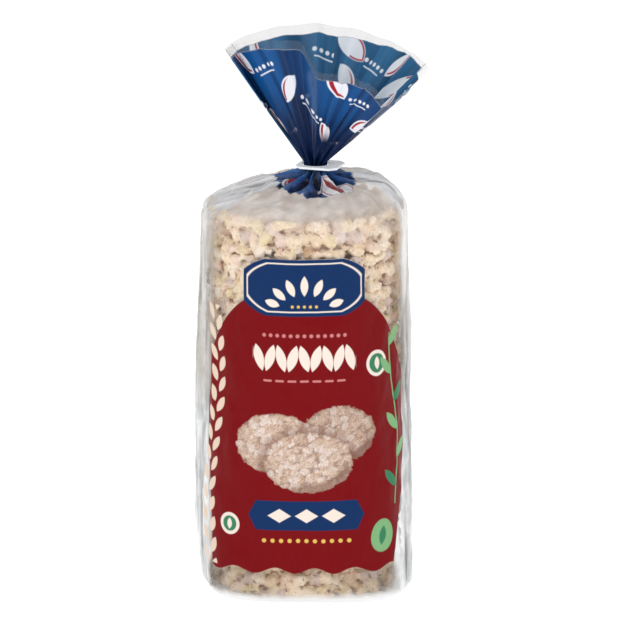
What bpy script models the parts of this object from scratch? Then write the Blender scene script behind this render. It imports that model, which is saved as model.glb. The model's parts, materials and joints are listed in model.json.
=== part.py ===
"""Bag of puffed rice cakes: a clear film bag round a stack of cakes, gathered at a neck, and its clip.

The bag is one solid out to its film: a foot with four corners, gusset folds up both sides, a pleated
shoulder, the tight neck and the open fan of film above it. The clip is a flat plate round the neck.
Metres, +Z up. The origin is the middle of the foot, and the bag's front faces -Y.
"""

import math

import bmesh
import bpy
import numpy as np
from mathutils import Matrix, Vector

MM = 0.001

# The stack inside the bag sets the body's size.
CAKE_RADIUS = 49.0 * MM
CAKE_THICKNESS = 19.4 * MM
CAKE_COUNT = 10
STACK_HEIGHT = CAKE_COUNT * CAKE_THICKNESS
FOOT_FILM = 1.6 * MM

# Body of the bag. Its sections are superellipses, square at the foot and nearly round at the top.
HALF_DEPTH = CAKE_RADIUS + 1.4 * MM
HALF_WIDTH_LEFT = 54.3 * MM
HALF_WIDTH_RIGHT = 53.0 * MM
HALF_WIDTH_TOP = 52.0 * MM
LEFT_FOOT_TUCK = 5.0 * MM
TUCK_HEIGHT = 18 * MM
SQUARE_FOOT = 3.7
SQUARE_TOP = 2.12
SQUARE_FADE = 42 * MM
FOOT_ROUND_LEFT = 5.0 * MM
FOOT_ROUND_RIGHT = 2.8 * MM
SHOULDER_DROP = 8.2 * MM
SHOULDER_Z = FOOT_FILM + STACK_HEIGHT - SHOULDER_DROP
NARROWS_FROM_Z = 0.5 * SHOULDER_Z

# Gusset folds: two ridges with a valley between them, up each side, that nearly die out at the top.
GUSSET_ANGLE = math.radians(15)
GUSSET_WIDTH = math.radians(5)
GUSSET_RIDGE = 1.5 * MM
GUSSET_VALLEY = 1.7 * MM
GUSSET_FADES_FROM_Z = 0.7 * SHOULDER_Z
GUSSET_TOP_SHARE = 0.3

# The left and right sides' own sizes meet over this share of the width, across the front and back.
SIDE_BLEND = 0.4

# Pleats: their spacing drifts by (size, waves a turn, phase), and their depth comes and goes.
PLEAT_DRIFTS = ((1.1, 2, 0.7), (0.7, 3, 2.1))
PLEAT_UNEVENNESS = 0.25
PLEAT_SWELLS = 5

# Shoulder: the film turns in a little below the top cake's rim and rises to the neck in a low dome.
NECK_LOW_Z = 213.0 * MM
NECK_HIGH_Z = 215.4 * MM
NECK_X = 5.6 * MM
NECK_RADIUS = 6.4 * MM
SHOULDER_SLOPE = 0.365
SHOULDER_TURN = 3.15
SHOULDER_CROWN = 0.34
SHOULDER_LEAN = 2.9 * MM
SHOULDER_PLEATS = 13
SHOULDER_PLEAT_DEPTH = 1.3 * MM

# Fan of film above the clip. Slopes are sideways or backward travel for each unit of rise. A lobe at
# the front left stands up, and a flap at the front right hangs forward.
FAN_LENGTH = 69 * MM
FAN_WALL = 0.9 * MM
FAN_SLOPE_RIGHT = 1.05
FAN_SLOPE_LEFT = -0.67
FAN_SLOPE_BACK = 0.45
FAN_SLOPE_FRONT = -0.74
LOBE_LIFT = 0.43
LOBE_START = math.radians(-165)
LOBE_END = math.radians(-105.5)
LOBE_START_EDGE = math.radians(9)
LOBE_END_EDGE = math.radians(4.5)
FLAP_LEAN = 0.52
FLAP_ANGLE = math.radians(-45)
FLAP_WIDTH = math.radians(22)
FAN_PLEATS = 17
FAN_PLEAT_DEPTH = 2.3 * MM
FAN_INSIDE_START = 16 * MM

# Clip: a plate with cut corners, a hole for the neck and a slot to the back that lets the neck in.
CLIP_WIDTH = 22 * MM
CLIP_DEPTH = 19.5 * MM
CLIP_THICKNESS = 1.1 * MM
CLIP_CORNER = 3.2 * MM
CLIP_X = 7.8 * MM
CLIP_Y = -1.2 * MM
CLIP_TURN = math.radians(-18)
CLIP_GAP = 0.4 * MM
CLIP_SLOT = 2.8 * MM
CLIP_SLOT_MOUTH = 4.6 * MM
CLIP_EDGE = 0.25 * MM

# Mesh fineness.
AROUND = 96
FOOT_RINGS = 4
BODY_RINGS = 9
SHOULDER_RINGS = 9
FAN_RINGS = 8
HOLE_STEPS = 32

ANGLES = np.linspace(0, 2 * math.pi, AROUND, endpoint=False)


def fade(low, high, value):
    """0 below low, 1 above high, and a smooth step between them."""
    share = np.clip((value - low) / (high - low), 0, 1)
    return share * share * (3 - 2 * share)


def bump(angle, centre, width):
    """A bell over angle, 1 at its centre, that runs round the full turn."""
    apart = (angle - centre + math.pi) % (2 * math.pi) - math.pi
    return np.exp(-((apart / width) ** 2))


def pleats(angle, count):
    """Folds of uneven width round the bag, from -1 to 1."""
    drift = sum(size * np.sin(waves * angle + phase) for size, waves, phase in PLEAT_DRIFTS)
    strength = 1 - PLEAT_UNEVENNESS * (1 - np.sin(PLEAT_SWELLS * angle))
    return np.sin(count * angle + drift) * strength


def left_share(angle):
    """1 on the bag's left side, 0 on its right, and a smooth change over the front and back."""
    return fade(SIDE_BLEND, -SIDE_BLEND, np.cos(angle))


def half_width(angle, z):
    """Half the body's width at height z, tucked in at the left of the foot."""
    left = left_share(angle)
    width = HALF_WIDTH_RIGHT + (HALF_WIDTH_LEFT - HALF_WIDTH_RIGHT) * left
    width = width + (HALF_WIDTH_TOP - width) * fade(NARROWS_FROM_Z, SHOULDER_Z, z)
    return width - LEFT_FOOT_TUCK * math.exp(-z / TUCK_HEIGHT) * left


def gussets(angle):
    """Ridges and valleys of the folds up the bag's two sides."""
    total = np.zeros_like(angle)
    for side in (0, math.pi):
        for ridge in (side - GUSSET_ANGLE, side + GUSSET_ANGLE):
            total += GUSSET_RIDGE * bump(angle, ridge, GUSSET_WIDTH)
        total -= GUSSET_VALLEY * bump(angle, side, GUSSET_WIDTH)
    return total


def body_radius(angle, z):
    """Distance from the body's middle line to its film at height z."""
    power = SQUARE_TOP + (SQUARE_FOOT - SQUARE_TOP) * math.exp(-z / SQUARE_FADE)
    across = np.abs(np.cos(angle) / half_width(angle, z)) ** power
    along = np.abs(np.sin(angle) / HALF_DEPTH) ** power
    strength = 1 - (1 - GUSSET_TOP_SHARE) * fade(GUSSET_FADES_FROM_Z, SHOULDER_Z, z)
    return (across + along) ** (-1 / power) + gussets(angle) * strength


def body_ring(z):
    """The film's section at height z, with its edge rounded into the flat foot."""
    curve = FOOT_ROUND_RIGHT + (FOOT_ROUND_LEFT - FOOT_ROUND_RIGHT) * left_share(ANGLES)
    below = np.maximum(curve - z, 0)
    radius = body_radius(ANGLES, z) - curve + np.sqrt(curve**2 - below**2)
    return np.stack([radius * np.cos(ANGLES), radius * np.sin(ANGLES), np.full(AROUND, z)], axis=1)


def neck_ring(z):
    """The gathered neck's round section at height z."""
    x = NECK_X + NECK_RADIUS * np.cos(ANGLES)
    return np.stack([x, NECK_RADIUS * np.sin(ANGLES), np.full(AROUND, z)], axis=1)


def shoulder_ring(out):
    """A section of the shoulder: out is 1 at the top cake's rim and 0 at the neck."""
    low = body_ring(SHOULDER_Z)
    high = neck_ring(NECK_LOW_Z)
    crown = (1 - out**SHOULDER_TURN) ** SHOULDER_CROWN
    rise = (1 - SHOULDER_SLOPE * out) * crown
    ring = high + (low - high) * out
    height = SHOULDER_Z + (NECK_LOW_Z - SHOULDER_Z) * rise
    depth = SHOULDER_PLEAT_DEPTH * math.sin(math.pi * math.sqrt(out))
    lean = SHOULDER_LEAN * math.sin(math.pi * out**2) * np.cos(ANGLES)
    ring[:, 2] = height + lean + depth * pleats(ANGLES, SHOULDER_PLEATS)
    return ring


def lobe_share(angle):
    """1 on the lobe at the front left that stands up, and 0 on the rest of the fan."""
    turn = (angle + math.pi) % (2 * math.pi) - math.pi
    rising = fade(LOBE_START - LOBE_START_EDGE, LOBE_START + LOBE_START_EDGE, turn)
    return rising * fade(LOBE_END + LOBE_END_EDGE, LOBE_END - LOBE_END_EDGE, turn)


def fan_direction(angle):
    """Unit vectors up the film of the fan, from the neck towards its rim."""
    middle = (FAN_SLOPE_RIGHT + FAN_SLOPE_LEFT) / 2
    sideways = middle + (FAN_SLOPE_RIGHT - FAN_SLOPE_LEFT) / 2 * np.cos(angle)
    backward = np.where(np.sin(angle) > 0, FAN_SLOPE_BACK, -FAN_SLOPE_FRONT) * np.sin(angle)
    backward += LOBE_LIFT * lobe_share(angle) - FLAP_LEAN * bump(angle, FLAP_ANGLE, FLAP_WIDTH)
    direction = np.stack([sideways, backward, np.ones_like(angle)], axis=1)
    return direction / np.linalg.norm(direction, axis=1, keepdims=True)


def fan_sheet(steps):
    """The fan's outer surface as an array of rings, one for each distance up the film in steps."""
    start = neck_ring(NECK_HIGH_Z)
    direction = fan_direction(ANGLES)
    turned = np.stack([np.cos(ANGLES), np.sin(ANGLES), np.zeros(AROUND)], axis=1)
    outward = turned - direction * np.sum(turned * direction, axis=1, keepdims=True)
    outward /= np.linalg.norm(outward, axis=1, keepdims=True)
    folds = pleats(ANGLES, FAN_PLEATS)[:, None]
    rings = []
    for step in steps:
        depth = FAN_PLEAT_DEPTH * step / FAN_LENGTH
        rings.append(start + direction * step + outward * folds * depth)
    return np.array(rings)


def sheet_normals(rings):
    """Outward unit normals of a tube given as rings of points."""
    around = np.roll(rings, -1, axis=1) - np.roll(rings, 1, axis=1)
    along = np.gradient(rings, axis=0)
    normals = np.cross(around, along)
    return normals / np.linalg.norm(normals, axis=2, keepdims=True)


def bag_rings():
    """Every ring of the bag's surface in order: up the outside, over the rim and down inside the fan."""
    foot_turns = np.linspace(0, math.pi / 2, FOOT_RINGS + 1)
    heights = [FOOT_ROUND_LEFT * (1 - math.cos(turn)) for turn in foot_turns]
    heights += list(np.linspace(FOOT_ROUND_LEFT, SHOULDER_Z, BODY_RINGS)[1:])
    rings = [body_ring(z) for z in heights]
    shoulder_turns = np.linspace(0, math.pi / 2, SHOULDER_RINGS + 1)
    rings += [shoulder_ring(math.cos(turn)) for turn in shoulder_turns[1:-1]]
    rings += [neck_ring(NECK_LOW_Z), neck_ring(NECK_HIGH_Z)]
    steps = np.linspace(0, FAN_LENGTH, FAN_RINGS + 1)
    fan = fan_sheet(steps)
    rings += list(fan[1:])
    inside = fan - sheet_normals(fan) * FAN_WALL
    rings += [ring for step, ring in zip(steps[::-1], inside[::-1]) if step > FAN_INSIDE_START]
    return rings


def loft(name, rings):
    """A closed mesh through the rings, with a flat face over each end ring."""
    mesh = bmesh.new()
    rows = [[mesh.verts.new(point) for point in ring] for ring in rings]
    mesh.faces.new(reversed(rows[0]))
    for low, high in zip(rows, rows[1:]):
        for this in range(AROUND):
            following = (this + 1) % AROUND
            mesh.faces.new((low[this], low[following], high[following], high[this]))
    bottom = mesh.verts.new(np.mean(rings[-1], axis=0))
    for this in range(AROUND):
        mesh.faces.new((rows[-1][this], rows[-1][(this + 1) % AROUND], bottom))
    data = bpy.data.meshes.new(name)
    mesh.to_mesh(data)
    mesh.free()
    data.shade_smooth()
    data.set_sharp_from_angle(angle=math.radians(50))
    return bpy.data.objects.new(name, data)


def clip_outline():
    """The clip's outline, once round the plate, in by the slot and round the hole for the neck."""
    x, y, cut = CLIP_WIDTH / 2, CLIP_DEPTH / 2, CLIP_CORNER
    neck = Matrix.Rotation(-CLIP_TURN, 2) @ Vector((NECK_X - CLIP_X, -CLIP_Y))
    hole = NECK_RADIUS + CLIP_GAP
    plate = [(neck.x - CLIP_SLOT_MOUTH / 2, y), (cut - x, y), (-x, y - cut), (-x, cut - y), (cut - x, -y)]
    plate += [(x - cut, -y), (x, cut - y), (x, y - cut), (x - cut, y), (neck.x + CLIP_SLOT_MOUTH / 2, y)]
    opening = math.asin(CLIP_SLOT / 2 / hole)
    turns = np.linspace(math.pi / 2 - opening, -1.5 * math.pi + opening, HOLE_STEPS)
    return plate + [(neck.x + hole * math.cos(turn), neck.y + hole * math.sin(turn)) for turn in turns]


def make_clip():
    """The plate on the neck: a flat curve, given its thickness and soft edges."""
    curve = bpy.data.curves.new("clip", "CURVE")
    curve.dimensions = "2D"
    curve.fill_mode = "BOTH"
    curve.extrude = CLIP_THICKNESS / 2
    points = clip_outline()
    spline = curve.splines.new("POLY")
    spline.points.add(len(points) - 1)
    for point, (x, y) in zip(spline.points, points):
        point.co = (x, y, 0, 1)
    spline.use_cyclic_u = True
    clip = bpy.data.objects.new("clip", curve)
    clip.location = (CLIP_X, CLIP_Y, (NECK_LOW_Z + NECK_HIGH_Z) / 2)
    clip.rotation_euler = (0, 0, CLIP_TURN)
    weld = clip.modifiers.new("Weld", "WELD")
    weld.merge_threshold = 0.02 * MM
    bevel = clip.modifiers.new("Bevel", "BEVEL")
    bevel.width = CLIP_EDGE
    bevel.segments = 2
    bevel.limit_method = "ANGLE"
    bevel.angle_limit = math.radians(50)
    return clip


def finish(name, colour, roughness):
    """A plain Principled material."""
    material = bpy.data.materials.new(name)
    material.use_nodes = True
    shader = material.node_tree.nodes["Principled BSDF"]
    shader.inputs["Base Color"].default_value = (*colour, 1)
    shader.inputs["Roughness"].default_value = roughness
    shader.inputs["Metallic"].default_value = 0.0
    return material


def main():
    """Clears the scene and builds the bag and its clip."""
    for old in list(bpy.data.objects):
        bpy.data.objects.remove(old)
    parts = bpy.data.collections.new("rice_cake_bag")
    bpy.context.scene.collection.children.link(parts)
    bag = loft("bag", bag_rings())
    bag.data.materials.append(finish("printed_film", (0.23, 0.010, 0.014), 0.35))
    clip = make_clip()
    clip.data.materials.append(finish("white_plastic", (0.78, 0.80, 0.83), 0.4))
    for part in (bag, clip):
        parts.objects.link(part)


main()
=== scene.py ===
"""Looks of a bag of puffed rice cakes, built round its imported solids.

A printed clear film stands on a flat foot, is gathered to a neck in a flat clip and spreads into a fan
above it. Ten round cakes of puffed rice are stacked inside. Lengths are metres; prints are in millimetres.
"""

import enum
import json
import logging
import math
from dataclasses import dataclass, field
from typing import Union

import bpy
import numpy as np
from mathutils import Euler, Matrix, Vector, kdtree, noise

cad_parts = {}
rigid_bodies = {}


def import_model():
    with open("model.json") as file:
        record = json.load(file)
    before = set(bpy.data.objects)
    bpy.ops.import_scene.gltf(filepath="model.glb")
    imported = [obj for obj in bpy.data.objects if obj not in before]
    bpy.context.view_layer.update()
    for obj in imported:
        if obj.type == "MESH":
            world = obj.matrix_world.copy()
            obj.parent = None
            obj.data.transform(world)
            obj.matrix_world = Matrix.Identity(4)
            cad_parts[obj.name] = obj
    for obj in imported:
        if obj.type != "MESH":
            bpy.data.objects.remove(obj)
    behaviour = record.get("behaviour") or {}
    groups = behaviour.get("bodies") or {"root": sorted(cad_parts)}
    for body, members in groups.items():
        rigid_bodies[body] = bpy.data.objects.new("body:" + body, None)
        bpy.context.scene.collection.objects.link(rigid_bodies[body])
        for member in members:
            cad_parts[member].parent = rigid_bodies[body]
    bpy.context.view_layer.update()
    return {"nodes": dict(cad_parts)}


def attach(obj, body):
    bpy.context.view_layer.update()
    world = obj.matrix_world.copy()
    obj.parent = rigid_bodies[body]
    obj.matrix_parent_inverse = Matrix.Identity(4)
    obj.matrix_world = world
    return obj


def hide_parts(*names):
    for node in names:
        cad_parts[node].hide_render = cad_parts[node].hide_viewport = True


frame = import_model()

LOG = logging.getLogger("rice_cake_bag")
BODY = "root"
BAG_NODE = "bag"
CLIP_NODE = "clip"
FILM_MAP = "film"
MM = 0.001
TURN = 2 * math.pi

Number = Union[int, float, "Wire"]
Colour = tuple[float, float, float, float]


class Slot(enum.Enum):
    """The record's material slots."""

    FILM = "film"
    CAKE = "rice_cake"
    CLIP = "clip"


# ---------------------------------------------------------------- shader writing


def srgb(red: float, green: float, blue: float) -> Colour:
    """Turns a screen colour into the linear colour that shaders use.

    Args:
        red: Red share from 0 to 255.
        green: Green share from 0 to 255.
        blue: Blue share from 0 to 255.

    Returns:
        The linear colour with full alpha.
    """
    shares = [value / 255 for value in (red, green, blue)]
    linear = [s / 12.92 if s <= 0.04045 else ((s + 0.055) / 1.055) ** 2.4 for s in shares]
    return (linear[0], linear[1], linear[2], 1.0)


class Wire:
    """An output socket, on which Python's operators add Math nodes."""

    def __init__(self, shader: "Shader", socket: bpy.types.NodeSocket) -> None:
        """Wraps a socket of a shader's tree."""
        self.shader = shader
        self.socket = socket

    def __add__(self, other: Number) -> "Wire":
        """Sum."""
        return self.shader.math("ADD", self, other)

    __radd__ = __add__

    def __sub__(self, other: Number) -> "Wire":
        """Difference."""
        return self.shader.math("SUBTRACT", self, other)

    def __rsub__(self, other: Number) -> "Wire":
        """Difference from a number."""
        return self.shader.math("SUBTRACT", other, self)

    def __mul__(self, other: Number) -> "Wire":
        """Product."""
        return self.shader.math("MULTIPLY", self, other)

    __rmul__ = __mul__

    def __truediv__(self, other: Number) -> "Wire":
        """Quotient."""
        return self.shader.math("DIVIDE", self, other)

    def __rtruediv__(self, other: Number) -> "Wire":
        """A number divided by this value."""
        return self.shader.math("DIVIDE", other, self)

    def __pow__(self, other: Number) -> "Wire":
        """Power."""
        return self.shader.math("POWER", self, other)

    def __neg__(self) -> "Wire":
        """The value with its sign turned."""
        return self.shader.math("MULTIPLY", self, -1.0)

    def __abs__(self) -> "Wire":
        """The value without its sign."""
        return self.shader.math("ABSOLUTE", self)


class Shader:
    """A material's node tree, written as expressions."""

    def __init__(self, name: str) -> None:
        """Starts an empty material of that name."""
        self.material = bpy.data.materials.new(name)
        self.material.use_nodes = True
        self.tree = self.material.node_tree
        self.tree.nodes.clear()

    def node(self, kind: str, settings: dict | None = None, inputs: dict | None = None) -> bpy.types.Node:
        """Adds one node.

        Args:
            kind: The node's type.
            settings: Its properties, set first; "stops" holds a ramp's places and colours.
            inputs: Values or wires, by the name or number of the socket.

        Returns:
            The new node.
        """
        made = self.tree.nodes.new(kind)
        for name, value in (settings or {}).items():
            if name == "stops":
                self._set_stops(made, value)
            else:
                setattr(made, name, value)
        for key, value in (inputs or {}).items():
            if isinstance(value, Wire):
                self.tree.links.new(value.socket, made.inputs[key])
            else:
                made.inputs[key].default_value = value
        return made

    @staticmethod
    def _set_stops(ramp: bpy.types.Node, stops: list[tuple[float, Colour]]) -> None:
        """Gives a colour ramp its stops."""
        elements = ramp.color_ramp.elements
        while len(elements) < len(stops):
            elements.new(0.5)
        for element, (place, colour) in zip(elements, stops):
            element.position = place
            element.color = colour

    def wire(self, kind: str, settings: dict | None = None, inputs: dict | None = None, out: int | str = 0) -> Wire:
        """Adds a node and wraps one of its outputs."""
        return Wire(self, self.node(kind, settings, inputs).outputs[out])

    def math(self, operation: str, *values: Number, clamp: bool = False) -> Wire:
        """Adds a Math node on values or wires."""
        return self.wire("ShaderNodeMath", {"operation": operation, "use_clamp": clamp}, dict(enumerate(values)))

    def least(self, *values: Number) -> Wire:
        """The smallest of the values."""
        low = values[0]
        for value in values[1:]:
            low = self.math("MINIMUM", low, value)
        return low

    def most(self, *values: Number) -> Wire:
        """The largest of the values."""
        high = values[0]
        for value in values[1:]:
            high = self.math("MAXIMUM", high, value)
        return high

    def length(self, x: Number, y: Number) -> Wire:
        """The length of a flat vector."""
        return self.math("SQRT", self.math("MULTIPLY_ADD", x, x, y * y))

    def step(self, low: float, high: float, value: Wire) -> Wire:
        """A smooth step of value: 0 at low and 1 at high, which may be the smaller."""
        settings = {"interpolation_type": "SMOOTHSTEP"}
        return self.wire("ShaderNodeMapRange", settings, {"Value": value, "From Min": low, "From Max": high})

    def inside(self, distance: Wire, soft: float = 0.22) -> Wire:
        """1 inside an outline and 0 outside it, from the distance to it; soft is half the edge's width."""
        return self.math("MULTIPLY_ADD", distance, -0.5 / soft, 0.5, clamp=True)

    def blend(self, share: Number, low: Union[Colour, Wire], high: Union[Colour, Wire], how: str = "MIX") -> Wire:
        """Mixes two colours, or lays the second over the first in another way, such as MULTIPLY."""
        settings = {"data_type": "RGBA", "blend_type": how}
        return self.wire("ShaderNodeMix", settings, {0: share, 6: low, 7: high}, out=2)

    def noise(self, place: Wire, scale: float, detail: float = 2.0, rough: float = 0.5) -> Wire:
        """Smooth noise about 0.5 on a vector."""
        inputs = {"Vector": place, "Scale": scale, "Detail": detail, "Roughness": rough}
        return self.wire("ShaderNodeTexNoise", {"noise_dimensions": "3D"}, inputs)

    def cells(self, place: Wire, scale: float) -> tuple[Wire, Wire]:
        """Rounded cells: how far a place is from its cell's middle, and a number of the cell's own."""
        node = self.node("ShaderNodeTexVoronoi", None, {"Vector": place, "Scale": scale})
        own = self.wire("ShaderNodeSeparateColor", None, {0: Wire(self, node.outputs["Color"])})
        return Wire(self, node.outputs["Distance"]), own

    def stretch(self, place: Wire, across: float, along: float, third: float = 1.0) -> Wire:
        """A vector scaled by its own number on each axis."""
        inputs = {0: place, 1: (across, along, third)}
        return self.wire("ShaderNodeVectorMath", {"operation": "MULTIPLY"}, inputs)

    def bump(self, height: Wire, depth: float, strength: float = 1.0) -> Wire:
        """A normal from a height between 0 and 1, where 1 is depth metres high."""
        return self.wire("ShaderNodeBump", None, {"Height": height, "Distance": depth, "Strength": strength})

    def surface(self, inputs: dict) -> bpy.types.Node:
        """Adds the Principled shader with those inputs."""
        return self.node("ShaderNodeBsdfPrincipled", None, inputs)

    def finish(self, shader: bpy.types.NodeSocket) -> bpy.types.Material:
        """Joins a shader to the output and returns the material."""
        output = self.tree.nodes.new("ShaderNodeOutputMaterial")
        self.tree.links.new(shader, output.inputs["Surface"])
        return self.material


# ---------------------------------------------------------------- flat shapes of the print


class Stencil:
    """Distances in millimetres to flat outlines, negative inside, at a place on the film."""

    def __init__(self, shader: Shader, across: Wire, up: Wire) -> None:
        """Keeps the place: across from the front's middle line and up the film."""
        self.shader = shader
        self.across = across
        self.up = up

    def _local(self, x: float, y: float, tilt: float) -> tuple[Wire, Wire]:
        """The place seen from a centre, turned by tilt degrees."""
        dx, dy = self.across - x, self.up - y
        if not tilt:
            return dx, dy
        cos, sin = math.cos(math.radians(tilt)), math.sin(math.radians(tilt))
        return dx * cos + dy * sin, dy * cos - dx * sin

    def disc(self, x: float, y: float, radius: float) -> Wire:
        """A round spot."""
        dx, dy = self._local(x, y, 0)
        return self.shader.length(dx, dy) - radius

    def oval(self, x: float, y: float, wide: float, high: float, tilt: float = 0.0) -> Wire:
        """An ellipse, by its half sizes."""
        dx, dy = self._local(x, y, tilt)
        return (self.shader.length(dx / wide, dy / high) - 1) * min(wide, high)

    def lens(self, x: float, y: float, wide: float, high: float, tilt: float = 0.0) -> Wire:
        """A grain or leaf with two pointed ends, by its half sizes."""
        dx, dy = self._local(x, y, tilt)
        radius = (high**2 + wide**2) / (2 * wide)
        return self.shader.length(abs(dx) + (radius - wide), dy) - radius

    def panel(self, x: float, y: float, wide: float, high: float, corner: float, tilt: float = 0.0) -> Wire:
        """A rectangle with round corners, by its half sizes."""
        dx, dy = self._local(x, y, tilt)
        out_x = self.shader.most(abs(dx) - (wide - corner), 0.0)
        out_y = self.shader.most(abs(dy) - (high - corner), 0.0)
        return self.shader.length(out_x, out_y) - corner

    def every(self, pitch_across: float, pitch_up: float = 0.0) -> "Stencil":
        """The same place, repeated at a pitch on either axis, where 0 leaves the axis alone."""
        across, up = self.across, self.up
        if pitch_across:
            across = across - self.shader.math("ROUND", across / pitch_across) * pitch_across
        if pitch_up:
            up = up - self.shader.math("ROUND", up / pitch_up) * pitch_up
        return Stencil(self.shader, across, up)

    def moved(self, x: float, y: float, tilt: float = 0.0) -> "Stencil":
        """The place seen from another centre and turned."""
        return Stencil(self.shader, *self._local(x, y, tilt))


class Ink:
    """Colours printed over one another, and where the film carries any of them."""

    def __init__(self, shader: Shader, bare: Colour) -> None:
        """Starts with bare film."""
        self.shader = shader
        self.colour: Union[Colour, Wire] = bare
        self.cover: Number = 0.0

    def lay(self, mask: Wire, colour: Union[Colour, Wire]) -> None:
        """Prints a colour where mask is 1."""
        self.colour = self.shader.blend(mask, self.colour, colour)
        self.cover = self.shader.most(self.cover, mask)

    def tint(self, mask: Wire, colour: Union[Colour, Wire]) -> None:
        """Changes the colour where mask is 1, on ink that is there already."""
        self.colour = self.shader.blend(mask * self.cover, self.colour, colour)


# ---------------------------------------------------------------- shared shape tools


def fade(low: float, high: float, value: np.ndarray | float) -> np.ndarray | float:
    """0 at low, 1 at high, and a smooth step between them."""
    share = np.clip((value - low) / (high - low), 0, 1)
    return share * share * (3 - 2 * share)


def bell(angle: np.ndarray, centre: float, width: float) -> np.ndarray:
    """A bell over angle, 1 at its centre, that runs round the full turn."""
    apart = (angle - centre + math.pi) % TURN - math.pi
    return np.exp(-((apart / width) ** 2))


def crease(angle: np.ndarray, centre: np.ndarray | float, width: float) -> np.ndarray:
    """A sharp fold over angle, 1 on its line, that runs round the full turn."""
    apart = (angle - centre + math.pi) % TURN - math.pi
    return np.exp(-np.abs(apart / width))


def rumple(points: np.ndarray, size: float, octaves: int = 3) -> np.ndarray:
    """Smooth noise about 0 at each point; size is the width of its largest lumps."""
    scaled = points / size
    return np.array([noise.fractal(Vector(p), 0.8, 2.1, octaves) for p in scaled])


def sheet_normals(rings: np.ndarray) -> np.ndarray:
    """Outward unit normals of a sheet given as rows of points, whose last column is its first again."""
    turning = rings[:, :-1]
    around = np.roll(turning, -1, axis=1) - np.roll(turning, 1, axis=1)
    normal = np.cross(around, np.gradient(turning, axis=0))
    normal /= np.maximum(np.linalg.norm(normal, axis=2, keepdims=True), 1e-12)
    return np.concatenate([normal, normal[:, :1]], axis=1)


def points_of(mesh: bpy.types.Mesh) -> np.ndarray:
    """A mesh's vertices as an array."""
    flat = np.empty(len(mesh.vertices) * 3, np.float64)
    mesh.vertices.foreach_get("co", flat)
    return flat.reshape(-1, 3)


def move_points(mesh: bpy.types.Mesh, points: np.ndarray) -> None:
    """Puts a mesh's vertices at new places."""
    mesh.vertices.foreach_set("co", points.astype(np.float32).ravel())
    mesh.update()


def normals_of(mesh: bpy.types.Mesh) -> np.ndarray:
    """A mesh's vertex normals as an array."""
    flat = np.empty(len(mesh.vertices) * 3, np.float32)
    mesh.vertex_normals.foreach_get("vector", flat)
    return flat.reshape(-1, 3).astype(np.float64)


def hollows(mesh: bpy.types.Mesh, passes: int) -> np.ndarray:
    """How far each vertex lies below the mesh smoothed round it, in metres; crests are negative."""
    edges = np.empty(len(mesh.edges) * 2, np.int64)
    mesh.edges.foreach_get("vertices", edges)
    first, second = edges.reshape(-1, 2).T
    points = points_of(mesh)
    smooth = points.copy()
    count = np.bincount(first, minlength=len(points)) + np.bincount(second, minlength=len(points))
    for _ in range(passes):
        total = np.zeros_like(smooth)
        for axis in range(3):
            total[:, axis] = np.bincount(first, smooth[second, axis], len(points))
            total[:, axis] += np.bincount(second, smooth[first, axis], len(points))
        smooth = total / np.maximum(count, 1)[:, None]
    return np.sum((smooth - points) * normals_of(mesh), axis=1)


def store(mesh: bpy.types.Mesh, name: str, values: np.ndarray) -> None:
    """Keeps one number for each vertex as an attribute."""
    layer = mesh.attributes.new(name, "FLOAT", "POINT")
    layer.data.foreach_set("value", values.astype(np.float32))


def only(piece: bpy.types.Object) -> None:
    """Makes one object the selected and active one."""
    bpy.ops.object.select_all(action="DESELECT")
    piece.select_set(True)
    bpy.context.view_layer.objects.active = piece


def new_piece(name: str) -> bpy.types.Object:
    """Names the primitive that was just added."""
    piece = bpy.context.object
    piece.name = name
    piece.data.name = name
    return piece


def apply_modifier(piece: bpy.types.Object, kind: str, **settings: object) -> None:
    """Adds a modifier, sets it and applies it."""
    only(piece)
    modifier = piece.modifiers.new(kind.title(), kind)
    for name, value in settings.items():
        setattr(modifier, name, value)
    bpy.ops.object.modifier_apply(modifier=modifier.name)


def dress(piece: bpy.types.Object, slot: Slot, *nodes: str) -> None:
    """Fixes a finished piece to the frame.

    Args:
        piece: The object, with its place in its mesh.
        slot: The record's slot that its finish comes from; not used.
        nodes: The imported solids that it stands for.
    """
    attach(piece, BODY)
    if nodes:
        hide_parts(*nodes)
    LOG.info("%s: %d faces", piece.name, len(piece.data.polygons))


# ---------------------------------------------------------------- the film's form


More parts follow.
